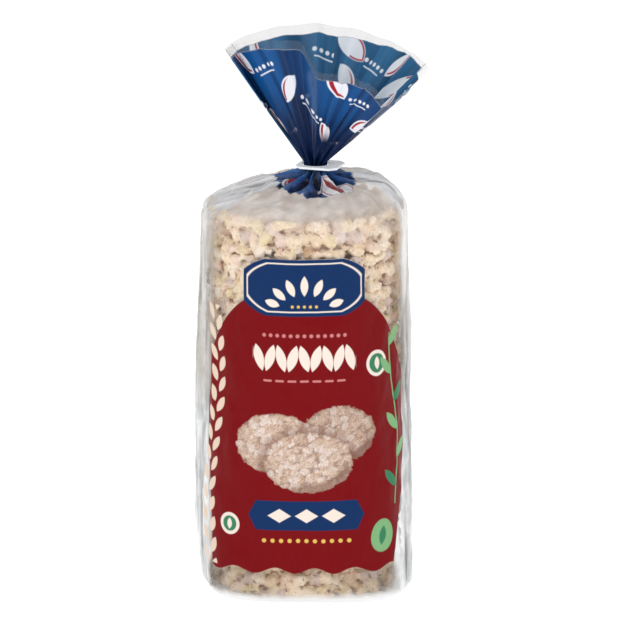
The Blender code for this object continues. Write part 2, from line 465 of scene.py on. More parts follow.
@dataclass(frozen=True)
class BagForm:
    """The film's outer form, with the solid's own sizes, as points for any angle round the bag."""

    cake_radius: float = 49.0 * MM
    half_depth: float = 50.4 * MM
    half_width_left: float = 54.3 * MM
    half_width_right: float = 53.0 * MM
    half_width_top: float = 52.0 * MM
    left_foot_tuck: float = 5.0 * MM
    tuck_height: float = 18 * MM
    square_foot: float = 3.7
    square_top: float = 2.12
    square_fade: float = 42 * MM
    foot_round_left: float = 5.0 * MM
    foot_round_right: float = 2.8 * MM
    shoulder_z: float = 187.4 * MM
    side_blend: float = 0.4
    gusset_angle: float = math.radians(15)
    gusset_width: float = math.radians(5)
    gusset_ridge: float = 1.5 * MM
    gusset_valley: float = 1.7 * MM
    gusset_top_share: float = 0.3
    neck_x: float = 5.6 * MM
    neck_z: float = 213.0 * MM
    neck_top_z: float = 215.4 * MM
    neck_radius: float = 6.4 * MM
    shoulder_slope: float = 0.365
    shoulder_turn: float = 3.15
    shoulder_crown: float = 0.34
    shoulder_lean: float = 2.9 * MM
    fan_slope_right: float = 1.05
    fan_slope_left: float = -0.67
    fan_slope_back: float = 0.45
    fan_slope_front: float = -0.74
    lobe_lift: float = 0.43
    lobe_start: float = math.radians(-165)
    lobe_end: float = math.radians(-105.5)
    lobe_start_edge: float = math.radians(9)
    lobe_end_edge: float = math.radians(4.5)
    flap_lean: float = 0.52
    flap_angle: float = math.radians(-45)
    flap_width: float = math.radians(22)

    def left_share(self, angle: np.ndarray) -> np.ndarray:
        """1 on the bag's left side, 0 on its right."""
        return fade(self.side_blend, -self.side_blend, np.cos(angle))

    def half_width(self, angle: np.ndarray, z: float) -> np.ndarray:
        """Half the body's width at height z."""
        left = self.left_share(angle)
        width = self.half_width_right + (self.half_width_left - self.half_width_right) * left
        width = width + (self.half_width_top - width) * fade(0.5 * self.shoulder_z, self.shoulder_z, z)
        return width - self.left_foot_tuck * math.exp(-z / self.tuck_height) * left

    def gussets(self, angle: np.ndarray) -> np.ndarray:
        """Ridges and valleys of the folds up both sides."""
        total = np.zeros_like(angle)
        for side in (0, math.pi):
            for ridge in (side - self.gusset_angle, side + self.gusset_angle):
                total += self.gusset_ridge * bell(angle, ridge, self.gusset_width)
            total -= self.gusset_valley * bell(angle, side, self.gusset_width)
        return total

    def body_ring(self, angle: np.ndarray, z: float) -> np.ndarray:
        """The film's section at height z."""
        power = self.square_top + (self.square_foot - self.square_top) * math.exp(-z / self.square_fade)
        across = np.abs(np.cos(angle) / self.half_width(angle, z)) ** power
        along = np.abs(np.sin(angle) / self.half_depth) ** power
        strength = 1 - (1 - self.gusset_top_share) * fade(0.7 * self.shoulder_z, self.shoulder_z, z)
        radius = (across + along) ** (-1 / power) + self.gussets(angle) * strength
        curve = self.foot_round_right + (self.foot_round_left - self.foot_round_right) * self.left_share(angle)
        below = np.maximum(curve - z, 0)
        radius = radius - curve + np.sqrt(curve**2 - below**2)
        return np.stack([radius * np.cos(angle), radius * np.sin(angle), np.full(len(angle), z)], axis=1)

    def neck_ring(self, angle: np.ndarray, z: float, radius: np.ndarray) -> np.ndarray:
        """A section of the neck at height z, of a radius for each angle."""
        x = self.neck_x + radius * np.cos(angle)
        return np.stack([x, radius * np.sin(angle), np.full(len(angle), z)], axis=1)

    def shoulder_ring(self, angle: np.ndarray, out: float) -> np.ndarray:
        """A section of the smooth shoulder: out is 1 at the top cake's rim and 0 at the neck."""
        low = self.body_ring(angle, self.shoulder_z)
        high = self.neck_ring(angle, self.neck_z, np.full(len(angle), self.neck_radius))
        crown = (1 - out**self.shoulder_turn) ** self.shoulder_crown
        rise = (1 - self.shoulder_slope * out) * crown
        ring = high + (low - high) * out
        lean = self.shoulder_lean * math.sin(math.pi * out**2) * np.cos(angle)
        ring[:, 2] = self.shoulder_z + (self.neck_z - self.shoulder_z) * rise + lean
        return ring

    def lobe_share(self, angle: np.ndarray) -> np.ndarray:
        """1 on the lobe at the front left that stands up, 0 on the rest of the fan."""
        turn = (angle + math.pi) % TURN - math.pi
        start, end = self.lobe_start_edge, self.lobe_end_edge
        rising = fade(self.lobe_start - start, self.lobe_start + start, turn)
        return rising * fade(self.lobe_end + end, self.lobe_end - end, turn)

    def fan_direction(self, angle: np.ndarray) -> np.ndarray:
        """Unit vectors up the film of the fan, from the neck towards its rim."""
        middle = (self.fan_slope_right + self.fan_slope_left) / 2
        sideways = middle + (self.fan_slope_right - self.fan_slope_left) / 2 * np.cos(angle)
        slope = np.where(np.sin(angle) > 0, self.fan_slope_back, -self.fan_slope_front)
        backward = slope * np.sin(angle) + self.lobe_lift * self.lobe_share(angle)
        backward -= self.flap_lean * bell(angle, self.flap_angle, self.flap_width)
        direction = np.stack([sideways, backward, np.ones_like(angle)], axis=1)
        return direction / np.linalg.norm(direction, axis=1, keepdims=True)


# ---------------------------------------------------------------- finishes


@dataclass(frozen=True)
class Inks:
    """Colours of the print, with shaded copies of the fan's blues and a lit copy of the skirt's blue for painted shade
    and highlight.
    """

    red: Colour = srgb(120, 2, 10)
    blue: Colour = srgb(12, 47, 95)
    cream: Colour = srgb(240, 226, 214)
    pink: Colour = srgb(205, 128, 128)
    yellow: Colour = srgb(226, 190, 96)
    green: Colour = srgb(128, 178, 124)
    deep_green: Colour = srgb(60, 128, 92)
    toast: Colour = srgb(214, 192, 172)
    toast_brown: Colour = srgb(198, 168, 148)
    toast_pale: Colour = srgb(232, 216, 208)
    toast_dark: Colour = srgb(126, 88, 74)
    toast_gold: Colour = srgb(206, 150, 110)
    fan_blue: Colour = srgb(22, 82, 144)
    # painted shade: the fan's blue where it lies in shade, in its folds and near the neck
    fan_shaded_blue: Colour = srgb(14, 34, 72)
    fan_inside: Colour = srgb(56, 110, 152)
    # painted shade: the fan's inside blue where it lies in shade
    fan_inside_shaded_blue: Colour = srgb(30, 72, 108)
    fan_red: Colour = srgb(158, 28, 40)
    fan_white: Colour = srgb(232, 232, 240)
    grain: Colour = srgb(230, 208, 188)
    skirt_blue: Colour = srgb(22, 84, 152)
    skirt_white: Colour = srgb(254, 254, 254)
    # painted highlight: the skirt's blue on the crests of its gathers
    skirt_highlight: Colour = srgb(96, 146, 206)
    skirt_milk: Colour = srgb(112, 128, 160)
    inside_red: Colour = srgb(178, 70, 92)
    inside_white: Colour = srgb(228, 234, 240)


@dataclass(frozen=True)
class FilmFinish:
    """How clear and how glossy the film is, part by part, with the greys and shares of its painted shade and
    highlights; haze is the share of light it stops.
    """

    haze_colour: Colour = srgb(250, 241, 234)
    haze_shade: Colour = srgb(236, 222, 212)
    clear_white: Colour = srgb(240, 241, 242)
    # painted shade: grey patches of crumpled film on the lower sides
    crumple_shade_grey: Colour = srgb(196, 200, 202)
    shoulder_grey: Colour = srgb(238, 238, 240)
    # painted light: the left side's film greyer, as in shade, and the right side's lighter, as lit
    left_shade_grey: Colour = srgb(214, 211, 206)
    right_lit_grey: Colour = srgb(238, 238, 237)
    inner_shade: Colour = srgb(152, 142, 132)
    low_shade: Colour = srgb(150, 130, 104)
    fold_shade: Colour = srgb(150, 148, 146)
    margin_colour: Colour = srgb(196, 194, 194)
    window_haze: float = 0.03
    patch_haze: float = 0.14
    side_haze: float = 0.5
    low_side_haze: float = 0.16
    shoulder_haze: float = 0.7
    # how strongly the painted shade low down in the middle covers the film
    low_shade_share: float = 0.12
    foot_haze: float = 0.85
    margin_haze: float = 0.2
    lobe_margin_haze: float = 0.04
    # painted highlight: extra whitish haze along the crests of the film's folds
    crest_highlight: float = 0.36
    # painted shade: darker bands of the fan's blue at its big folds and shaded sides, outside and inside, each as
    # (place round the film, width, share)
    outside_shade_bands: tuple = ((-25.0, 5.0, 0.75), (-82.0, 20.0, 0.4), (50.0, 26.0, 0.72), (-8.0, 5.0, 0.3), (112.0, 20.0, 0.3))
    inside_shade_bands: tuple = ((124.0, 8.0, 0.6), (-150.0, 9.0, 0.5), (168.0, 6.0, 0.35), (-118.0, 10.0, 0.45), (92.0, 7.0, 0.3))
    roughness: float = 0.3
    gloss: float = 0.1
    wrinkle: float = 0.35 * MM
    crackle: float = 0.12 * MM


@dataclass(frozen=True)
class FrontPrint:
    """A red field with an arched head and a wavy foot, and plain shapes on it. Sizes are millimetres."""

    half_width: float = 57.6
    centre: float = 2.4
    taper: float = 0.185
    taper_lean: float = 0.055
    taper_from: float = 76.0
    head: float = 160.5
    head_centre: float = 0.5
    head_drop: float = 43.5
    head_reach: float = 58.0
    head_power: float = 3.6
    foot: float = 17.4
    wave: float = 1.5
    wave_pitch: float = 19.5
    side_wave: float = 0.8
    rounds: tuple = ((-14.5, 83.0, 20.5, 15.5, 0.0), (17.5, 87.5, 19.0, 14.5, 0.2), (2.0, 73.5, 22.5, 15.5, 0.0))

    def field(self, shader: Shader, place: Stencil) -> Wire:
        """Where the red field lies."""
        low = shader.most(self.taper_from - place.up, 0.0)
        wobble = shader.math("SINE", place.up * 0.09) * self.side_wave
        reach = abs(place.across - self.centre + low * self.taper_lean + wobble) + low * self.taper
        arch = (abs(place.across - self.head_centre) / self.head_reach) ** self.head_power * self.head_drop
        wave = shader.math("SINE", place.across * (TURN / self.wave_pitch)) * self.wave
        top = place.up + arch - self.head
        foot = (self.foot + wave) - place.up
        return shader.most(top, foot, reach - self.half_width)

    def lay(self, shader: Shader, place: Stencil, ink: Ink, inks: Inks) -> None:
        """Prints the front."""
        ink.lay(shader.inside(self.field(shader, place)), inks.red)
        self._head_panel(shader, place, ink, inks)
        self._grain_frieze(shader, place, ink, inks)
        self._cakes(shader, place, ink, inks)
        self._low_band(shader, place, ink, inks)
        self._spots(shader, place, ink, inks)
        self._sprig(shader, place, ink, inks)
        self._falling_grains(shader, place, ink, inks)

    def _head_panel(self, shader: Shader, place: Stencil, ink: Ink, inks: Inks) -> None:
        """A blue pebble across the head of the red field, with a sunburst of grains."""
        edge = place.oval(0, 163.0, 36.0, 17.5)
        edge = shader.most(edge, abs(place.up - 163.0) - 14.5, abs(place.across) - 32.0)
        ink.lay(shader.inside(edge), inks.blue)
        ink.tint(shader.inside(abs(edge + 2.2) - 0.35), inks.cream)
        for turn in range(-3, 4):
            x, y = 17 * math.sin(turn * 0.42), 151 + 13 * math.cos(turn * 0.42)
            tall = 5.2 - 0.45 * abs(turn)
            ink.tint(shader.inside(place.lens(x, y, 1.9, tall, turn * -24)), inks.cream)
        dots = place.moved(0, 153.4).every(3.0)
        row = shader.most(dots.disc(0, 0, 0.75), abs(place.across) - 7.6)
        ink.tint(shader.inside(row), inks.yellow)

    def _grain_frieze(self, shader: Shader, place: Stencil, ink: Ink, inks: Inks) -> None:
        """A band of tall cream grains between a row of dots and a row of dashes."""
        band = place.moved(0.0, 127.0)
        leaning = band.every(11.6)
        upright = Stencil(shader, band.across - 5.8, band.up).every(11.6)
        grain = shader.least(leaning.lens(0, 0, 2.5, 7.0, 16), upright.lens(0, 0, 2.5, 7.0, -16))
        ink.tint(shader.inside(shader.most(grain, abs(band.across) - 26.4)), inks.cream)
        dots = place.moved(0.0, 138.6).every(3.4)
        ink.tint(shader.inside(shader.most(dots.disc(0, 0, 0.95), abs(place.across) - 22.2)), inks.pink)
        dashes = place.moved(0.0, 115.4).every(6.2)
        dash = shader.most(dashes.panel(0, 0, 2.2, 0.55, 0.5), abs(place.across) - 21.6)
        ink.tint(shader.inside(dash), inks.pink)

    def _cakes(self, shader: Shader, place: Stencil, ink: Ink, inks: Inks) -> None:
        """Three pale rounds of grains that overlap."""
        fine = shader.wire("ShaderNodeCombineXYZ", None, {0: place.across, 1: place.up})
        clumps = shader.noise(fine, 0.3, 3.0, 0.6)
        swirl = shader.wire("ShaderNodeVectorMath", {"operation": "ADD"}, {0: fine, 1: clumps * 5.0})
        far, own = shader.cells(swirl, 0.34)
        small = shader.noise(swirl, 0.9, 2.0, 0.5)
        body = shader.blend(shader.step(0.35, 0.65, clumps), inks.toast_brown, inks.toast)
        body = shader.blend(shader.step(0.5, 0.75, own) * 0.7, body, inks.toast_pale)
        body = shader.blend(shader.step(0.6, 0.7, small) * 0.6, body, inks.toast_pale)
        body = shader.blend(shader.step(0.045, 0.0, abs(small - 0.44)) * 0.6, body, inks.toast_dark)
        body = shader.blend(shader.step(0.55, 0.85, far) * 0.6, body, inks.toast_dark)
        body = shader.blend(shader.step(0.66, 0.72, shader.noise(fine, 0.5, 2.0, 0.5)) * 0.7, body, inks.toast_gold)
        ragged = (clumps - 0.5) * 3.0 + (far - 0.5) * 0.9
        laid: Number = 0.0
        for x, y, wide, high, shade in self.rounds:
            edge = place.oval(x, y, wide, high) + ragged
            ink.tint(shader.inside(edge - 1.5, 2.2) * laid * 0.75, inks.toast_dark)
            turned = (place.across - x) * (0.5 / wide) - (place.up - y) * (0.9 / high)
            wall = shader.step(0.35, 0.8, turned) * shader.step(-5.5, -2.5, edge) * 0.65
            rim = shader.most(wall, shader.step(-2.0, 0.5, edge) * 0.35) + shade
            mask = shader.inside(edge, 0.35)
            ink.tint(mask, shader.blend(rim, body, inks.toast_dark))
            laid = shader.most(laid, mask)

    def _low_band(self, shader: Shader, place: Stencil, ink: Ink, inks: Inks) -> None:
        """A blue band with slanted ends and three cream lozenges, over a row of yellow dots."""
        band = shader.most(abs(place.across - 1.0) + abs(place.up - 46.0) * 0.5 - 29.0, abs(place.up - 46.0) - 7.6)
        ink.tint(shader.inside(band), inks.blue)
        gem = place.moved(1.0, 46.0).every(13.5)
        gems = shader.most(abs(gem.across) * 0.62 + abs(gem.up) - 3.6, abs(place.across - 1.0) - 20.0)
        ink.tint(shader.inside(gems), inks.cream)
        dots = place.moved(1.0, 33.0).every(4.2)
        ink.tint(shader.inside(shader.most(dots.disc(0, 0, 1.05), abs(place.across - 1.0) - 23.0)), inks.yellow)

    def _spots(self, shader: Shader, place: Stencil, ink: Ink, inks: Inks) -> None:
        """Small round marks: a cream ring with a green heart, and plain green and cream ovals."""
        for x, y, size in ((39.0, 122.0, 6.6), (-38.0, 40.0, 5.6)):
            ink.tint(shader.inside(place.disc(x, y, size)), inks.cream)
            ink.tint(shader.inside(place.disc(x, y, size - 1.7)), inks.deep_green)
            ink.tint(shader.inside(place.lens(x, y, size * 0.24, size * 0.5)), inks.cream)
        ink.tint(shader.inside(place.oval(39.5, 33.5, 6.4, 8.4, -12)), inks.green)
        ink.tint(shader.inside(place.lens(39.5, 33.5, 1.8, 5.0, -12)), inks.deep_green)

    def _sprig(self, shader: Shader, place: Stencil, ink: Ink, inks: Inks) -> None:
        """A stem with alternate leaves up the right edge of the red field."""
        sway = shader.math("SINE", (place.up - 60) * 0.07) * 2.2
        stem = shader.most(abs(place.across - 50.5 - sway) - 0.4, abs(place.up - 92.0) - 44.0)
        ink.lay(shader.inside(stem), inks.green)
        for step in range(6):
            side = 1 if step % 2 else -1
            height = 58 + 14.5 * step
            x = 50.5 + 2.2 * math.sin((height - 60) * 0.07) + side * 3.6
            leaf = place.lens(x, height + 3.5, 2.3, 6.2, side * -38)
            ink.lay(shader.inside(leaf), inks.green if step % 3 else inks.deep_green)

    def _falling_grains(self, shader: Shader, place: Stencil, ink: Ink, inks: Inks) -> None:
        """Cream grains in two loose files down the left edge, over the clear film and the red."""
        file = place.moved(-51.0, 84.0)
        sway = shader.math("SINE", file.up * 0.055) * 2.6
        for shift, tilt, start in ((-2.9, 24, 0.0), (2.9, -24, 5.2)):
            grains = Stencil(shader, file.across - sway - shift, file.up - start).every(0, 10.4)
            grain = shader.most(grains.lens(0, 0, 2.1, 4.5, tilt), abs(file.up) - 66.0)
            ink.lay(shader.inside(grain), inks.grain)


@dataclass(frozen=True)
class BackPrint:
    """The back of the bag: a red field with one pale panel of plain rows. Sizes are millimetres."""

    half_width: float = 56.0
    head: float = 158.0
    foot: float = 17.4
    panel_rows: int = 11

    def lay(self, shader: Shader, place: Stencil, ink: Ink, inks: Inks) -> None:
        """Prints the back; place counts across from the back's middle line."""
        middle, tall = (self.head + self.foot) / 2, (self.head - self.foot) / 2
        ink.lay(shader.inside(place.panel(0, middle, self.half_width, tall, 16)), inks.red)
        ink.tint(shader.inside(place.panel(0, middle + 8, 34, 46, 4)), inks.cream)
        rows = place.moved(0, middle + 8).every(0, 7.2)
        line = shader.most(abs(rows.up) - 0.5, abs(place.across) - 28, abs(place.up - middle - 8) - 40)
        ink.tint(shader.inside(line), inks.blue)
        ink.tint(shader.inside(place.panel(0, self.foot + 15, 34, 6.5, 3)), inks.blue)
        dots = place.moved(0, self.foot + 15).every(6.0)
        ink.tint(shader.inside(shader.most(dots.disc(0, 0, 1.2), abs(place.across) - 27)), inks.cream)


@dataclass(frozen=True)
class FanPrint:
    """Scattered leaves, petals and rows of dots on the fan's blue. Sizes are millimetres; foot is the neck's mark."""

    foot: float = 246.4
    pitch: float = 62.0
    row: float = 37.0
    petals: tuple = ((110.0, 51.0, 5.0, 15.0, 37.0), (160.0, 60.0, 5.5, 10.0, -55.0))

    def lay(self, shader: Shader, place: Stencil, ink: Ink, inks: Inks, inside: bool, share: Wire) -> None:
        """Prints the scattered shapes on blue that is there already, where share is 1."""
        white = inks.inside_white if inside else inks.fan_white
        red = inks.inside_red if inside else inks.fan_red
        for shift, lift, tilt in ((2.0, 11.0, 34.0), (33.0, 29.5, -42.0)):
            cell = Stencil(shader, place.across - shift, place.up - lift).every(self.pitch, self.row)
            leaf = cell.lens(0, 0, 5.0, 10.5, tilt)
            ink.tint(shader.inside(leaf, 0.3) * share, white)
            heart = shader.most(leaf + 1.1, -cell.lens(3.0, 1.0, 4.6, 11.0, tilt))
            ink.tint(shader.inside(heart, 0.3) * share, red)
            dots = cell.moved(17.0, -6.0, tilt * 0.3)
            row = shader.most(dots.every(3.7).disc(0, 0, 1.15), abs(dots.across) - 9.4)
            rule = dots.panel(0, -3.4, 7.0, 0.35, 0.3)
            ink.tint(shader.inside(shader.least(row, rule), 0.3) * share, white)
        for x, y, wide, high, tilt in self.petals:
            petal = place.lens(x, self.foot + y, wide, high, tilt)
            ink.tint(shader.inside(petal, 0.3) * share, white)
            rim = shader.most(abs(petal + 0.8) - 0.5, place.across - x)
            ink.tint(shader.inside(rim, 0.3) * share, red)


class Side(enum.Enum):
    """Which part of the film a material is for."""

    FRONT = "film_front"
    BACK = "film_back"
    CLEAR = "film_clear"
    FAN_OUT = "fan_outside"
    FAN_IN = "fan_inside"


@dataclass(frozen=True)
class FilmMarks:
    """Places on the film's own map, in millimetres up from the foot and round from the front."""

    half_round: float
    shoulder: float
    neck: float
    rim: float
    skirt: float = 18.0
    skirt_front: float = 20.0
    skirt_reach: float = 38.0
    skirt_centre: float = 16.0
    left_edge: float = 55.0
    right_edge: float = 60.0
    back_edge: float = 57.0
    high_sides: float = 98.0
    margin: float = 5.0
    flap_margin: float = 7.0
    flap_at: float = 66.0
    narrow_margin: float = 3.2
    narrow_at: float = 122.0
    margin_change: float = 24.0


class FilmMaterial:
    """Writes the film's materials, one for each part, with one haze that runs on across their borders."""

    def __init__(self, finish: FilmFinish, inks: Inks, marks: FilmMarks) -> None:
        """Keeps the finish, the colours of the print and the film's marks."""
        self.finish = finish
        self.inks = inks
        self.marks = marks

    def make(self, side: Side) -> bpy.types.Material:
        """Writes the material of one part of the film."""
        shader = Shader(side.value)
        map_node = shader.node("ShaderNodeUVMap", {"uv_map": FILM_MAP})
        cut = shader.node("ShaderNodeSeparateXYZ", None, {0: Wire(shader, map_node.outputs[0])})
        across, up = Wire(shader, cut.outputs[0]) * 1000.0, Wire(shader, cut.outputs[1]) * 1000.0
        flat = shader.wire("ShaderNodeCombineXYZ", None, {0: across, 1: up})
        fold = shader.wire("ShaderNodeAttribute", {"attribute_name": "crest"}, None, "Fac")
        streak = shader.noise(shader.stretch(flat, 0.11, 0.014), 1.0, 2.0, 0.55)
        place = Stencil(shader, across, up)
        fan = side in (Side.FAN_OUT, Side.FAN_IN)
        ink = Ink(shader, self.finish.margin_colour if fan else self.finish.haze_colour)
        if fan:
            haze = self._fan(shader, place, ink, fold, streak, side is Side.FAN_IN)
        else:
            haze = self._body(shader, place, ink, fold, streak, flat)
            self._print(shader, place, ink, side)
        cover = shader.math("MAXIMUM", haze, ink.cover, clamp=True)
        crackle = shader.noise(shader.stretch(flat, 0.45, 0.28), 1.0, 3.0, 0.55)
        wrinkle = shader.noise(shader.stretch(flat, 0.11, 0.05), 1.0, 2.0, 0.5)
        normal = shader.bump(wrinkle, self.finish.wrinkle)
        bump = shader.node("ShaderNodeBump", None, {"Height": crackle, "Distance": self.finish.crackle, "Normal": normal})
        surface = shader.surface(
            {
                "Base Color": ink.colour,
                "Roughness": self.finish.roughness,
                "Specular IOR Level": self.finish.gloss,
                "Normal": Wire(shader, bump.outputs[0]),
            }
        )
        clear = shader.node("ShaderNodeBsdfTransparent")
        mixed = shader.node("ShaderNodeMixShader", None, {0: cover})
        shader.tree.links.new(clear.outputs[0], mixed.inputs[1])
        shader.tree.links.new(surface.outputs[0], mixed.inputs[2])
        return shader.finish(mixed.outputs[0])

    def _body(self, shader: Shader, place: Stencil, ink: Ink, fold: Wire, streak: Wire, flat: Wire) -> Wire:
        """The haze of the body's bare film, with painted shade and highlights on it, and the blue skirt under the neck.
        """
        marks, finish = self.marks, self.finish
        cloud = shader.noise(shader.stretch(flat, 0.055, 0.055), 1.0, 4.0, 0.62)
        patch = shader.step(0.36, 0.66, cloud)
        beyond = self._beyond(shader, place)
        high = shader.step(marks.high_sides - 12, marks.high_sides + 12, place.up)
        beyond = beyond + 2.5 - shader.step(26, 10, place.up) * 3.5
        side = shader.step(-2.0, 5.0, beyond + (streak - 0.5) * 4.0)
        shoulder = shader.step(marks.shoulder - 4.5, marks.shoulder + 9, place.up + (cloud - 0.5) * 11)
        foot = shader.step(7.0, 2.0, place.up + (streak - 0.5) * 3.0)
        # painted light: the side strips greyer on the left, as in shade, and lighter on the right, as lit
        grey = shader.blend(shader.step(-30, 30, place.across), finish.left_shade_grey, finish.right_lit_grey)
        edge = shader.step(7.5, 1.0, beyond + (streak - 0.5) * 6.0) * shader.step(12, 34, place.up)
        grey = shader.blend(edge * 0.9, grey, finish.inner_shade)
        # painted shade: grey patches of crumpled film on the lower sides
        low = shader.blend(shader.step(0.42, 0.62, cloud) * 0.8, finish.clear_white, finish.crumple_shade_grey)
        grey = shader.blend(shader.step(0.46, 0.66, cloud) * 0.4, grey, finish.inner_shade)
        grey = shader.blend(shoulder, shader.blend(high, low, grey), finish.shoulder_grey)
        soft = shader.noise(shader.stretch(flat, 0.09, 0.09), 1.0, 2.0, 0.4)
        ink.colour = shader.blend(shader.step(0.4, 0.62, soft) * 0.75, ink.colour, finish.haze_shade)
        # painted shade: the film low down in the middle darkened, where less light reaches near the floor
        low_shade_mask = shader.step(28, 16, place.up) * shader.step(4, 9, place.up) * shader.step(42, 24, abs(place.across))
        ink.colour = shader.blend(low_shade_mask, ink.colour, finish.low_shade)
        ink.colour = shader.blend(side, ink.colour, grey)
        ink.colour = shader.blend(foot, ink.colour, finish.clear_white)
        # streaky haze on the sides: partly the film's uneven haze, partly painted highlight streaks on its folds
        streaks = shader.step(0.34, 0.64, streak) * 1.1 + 0.45
        haze = side * streaks * ((1.0 - high) * finish.low_side_haze + finish.side_haze) + finish.window_haze
        haze = haze + shader.step(0.52, 0.7, cloud) * finish.patch_haze + low_shade_mask * finish.low_shade_share
        haze = shader.most(haze, shoulder * (patch * 0.2 + side * 0.12 + 0.9) * finish.shoulder_haze)
        haze = shader.most(haze, foot * finish.foot_haze)
        calm = 1.0 - shoulder * (1.0 - side * 0.6)
        # painted highlight: whiter haze on the fold crests; painted shade in the fold valleys
        crest = shader.math("MULTIPLY", fold, finish.crest_highlight, clamp=True) * calm
        valley = shader.math("MULTIPLY", fold, -0.9, clamp=True) * (side * 0.8 + shoulder * 0.12)
        ink.colour = shader.blend(valley, ink.colour, finish.fold_shade)
        self._skirt(shader, place, ink, fold, flat)
        return haze + shader.most(crest, valley * 0.6)

    def _beyond(self, shader: Shader, place: Stencil) -> Wire:
        """How far a place lies past the edges of the printed front and back, on the bag's sides."""
        marks = self.marks
        right = place.across - marks.right_edge + shader.most(80.0 - place.up, 0.0) * 0.24
        left = -place.across - marks.left_edge + shader.most(70.0 - place.up, 0.0) * 0.13
        back = (marks.half_round - marks.back_edge) - abs(place.across)
        return shader.least(shader.most(right, left), back)

    def _skirt(self, shader: Shader, place: Stencil, ink: Ink, fold: Wire, flat: Wire) -> None:
        """The torn-looking end of the blue print under the neck, milky towards its edge, with painted shade in its
        gathers and painted highlights on their crests.
        """
        marks, inks = self.marks, self.inks
        aside = (place.across - marks.skirt_centre) / marks.skirt_reach
        front = shader.math("EXPONENT", -(aside**2.0)) * marks.skirt_front
        tear = (shader.noise(shader.stretch(flat, 0.1, 0.05), 1.0, 3.0, 0.65) - 0.5) * 15
        height = place.up + tear + front - (marks.neck - marks.skirt)
        skirt = shader.step(-0.8, 0.8, height)
        ragged = shader.step(0.42, 0.6, shader.noise(flat, 0.16, 2.0, 0.5))
        milk = shader.step(15.0, 0.0, height) * ragged * shader.step(30, -10, place.across)
        gather = shader.wire("ShaderNodeAttribute", {"attribute_name": "gather"}, None, "Fac")
        wavy = gather + (ragged - 0.5) * 0.14
        # painted shade: darker in the gathers' folds, in the fold valleys and just under the neck, less over the white
        # patches
        painted_shade = shader.most(shader.step(0.18, 0.5, wavy), shader.step(marks.neck - 8, marks.neck, place.up) * 0.7)
        painted_shade = shader.most(painted_shade, shader.step(0.0, -0.6, fold) * 0.7)
        # painted highlight: lighter blue on the crests of the gathers
        blue = shader.blend(shader.step(0.14, 0.04, wavy) * 0.6, inks.skirt_blue, inks.skirt_highlight)
        blue = shader.blend(milk * 0.75, blue, inks.skirt_milk)
        ink.lay(skirt * 0.97, blue)
        white: Number = 0.0
        for x, low, wide, high, tilt in ((27, 24, 18, 19, 14), (-56, 10, 9, 6, -12), (104, 14, 12, 7, 10), (-118, 14, 13, 7, 8)):
            y = marks.neck - low
            patch = shader.inside(place.oval(x, y, wide, high, tilt), 0.5)
            white = shader.most(white, patch)
            ink.tint(patch, inks.skirt_white)
            heart = shader.least(abs(place.oval(x, y, wide - 2, high - 2, tilt)) - 0.5, place.lens(x - 3, y + 1, 5.4, high - 3, tilt))
            ink.tint(shader.inside(heart, 0.4), inks.fan_red)
        ink.tint(painted_shade * (0.96 - white * 0.76), inks.fan_shaded_blue)

    def _print(self, shader: Shader, place: Stencil, ink: Ink, side: Side) -> None:
        """The print of the front or the back."""
        if side is Side.FRONT:
            FrontPrint().lay(shader, place, ink, self.inks)
        if side is Side.BACK:
            wrapped = self.marks.half_round - abs(place.across)
            BackPrint().lay(shader, Stencil(shader, wrapped, place.up), ink, self.inks)

    def _fan(self, shader: Shader, place: Stencil, ink: Ink, fold: Wire, streak: Wire, inside: bool) -> Wire:
        """The fan's blue print, with painted shade near the neck, in its folds and in broad bands at its big folds, and
        the haze of its bare margin.
        """
        marks, inks, finish = self.marks, self.inks, self.finish
        flap = shader.math("EXPONENT", -(((place.across - marks.flap_at) / marks.margin_change) ** 2.0))
        narrow = shader.math("EXPONENT", -(((place.across - marks.narrow_at) / marks.margin_change) ** 2.0))
        margin = flap * marks.flap_margin - narrow * marks.narrow_margin + marks.margin
        edge = marks.rim - margin - place.up + (streak - 0.5) * 2.0
        near_neck = shader.step(marks.neck + 50, marks.neck + 12, place.up)
        light = inks.fan_inside if inside else inks.fan_blue
        painted_shade = inks.fan_inside_shaded_blue if inside else inks.fan_shaded_blue
        mottle = shader.step(0.35, 0.75, streak)
        # painted shade: darker in the fold valleys, near the neck and in broad bands at the big folds; mottle adds a
        # little uneven tone
        folds = shader.step(-0.2, 0.8, fold) if inside else shader.step(0.1, -0.7, fold)
        shade_bands = finish.inside_shade_bands if inside else finish.outside_shade_bands
        broad = shader.most(0.0, *[shader.math("EXPONENT", -(((place.across - at) / wide) ** 2.0)) * share for at, wide, share in shade_bands])
        shade = shader.math("ADD", near_neck * 0.92, folds * 0.4 + mottle * 0.12 + broad, clamp=True)
        ink.lay(shader.inside(-edge, 0.4), shader.blend(shade, light, painted_shade))
        share = shader.step(marks.neck + 16, marks.neck + 27, place.up)
        FanPrint().lay(shader, place, ink, inks, inside, share)
        lobe = shader.step(-66, -50, place.across) * shader.step(96, 80, place.across)
        lines = shader.step(0.55, 0.75, streak) * 0.15 + 0.9
        return lines * (finish.margin_haze - lobe * (finish.margin_haze - finish.lobe_margin_haze))


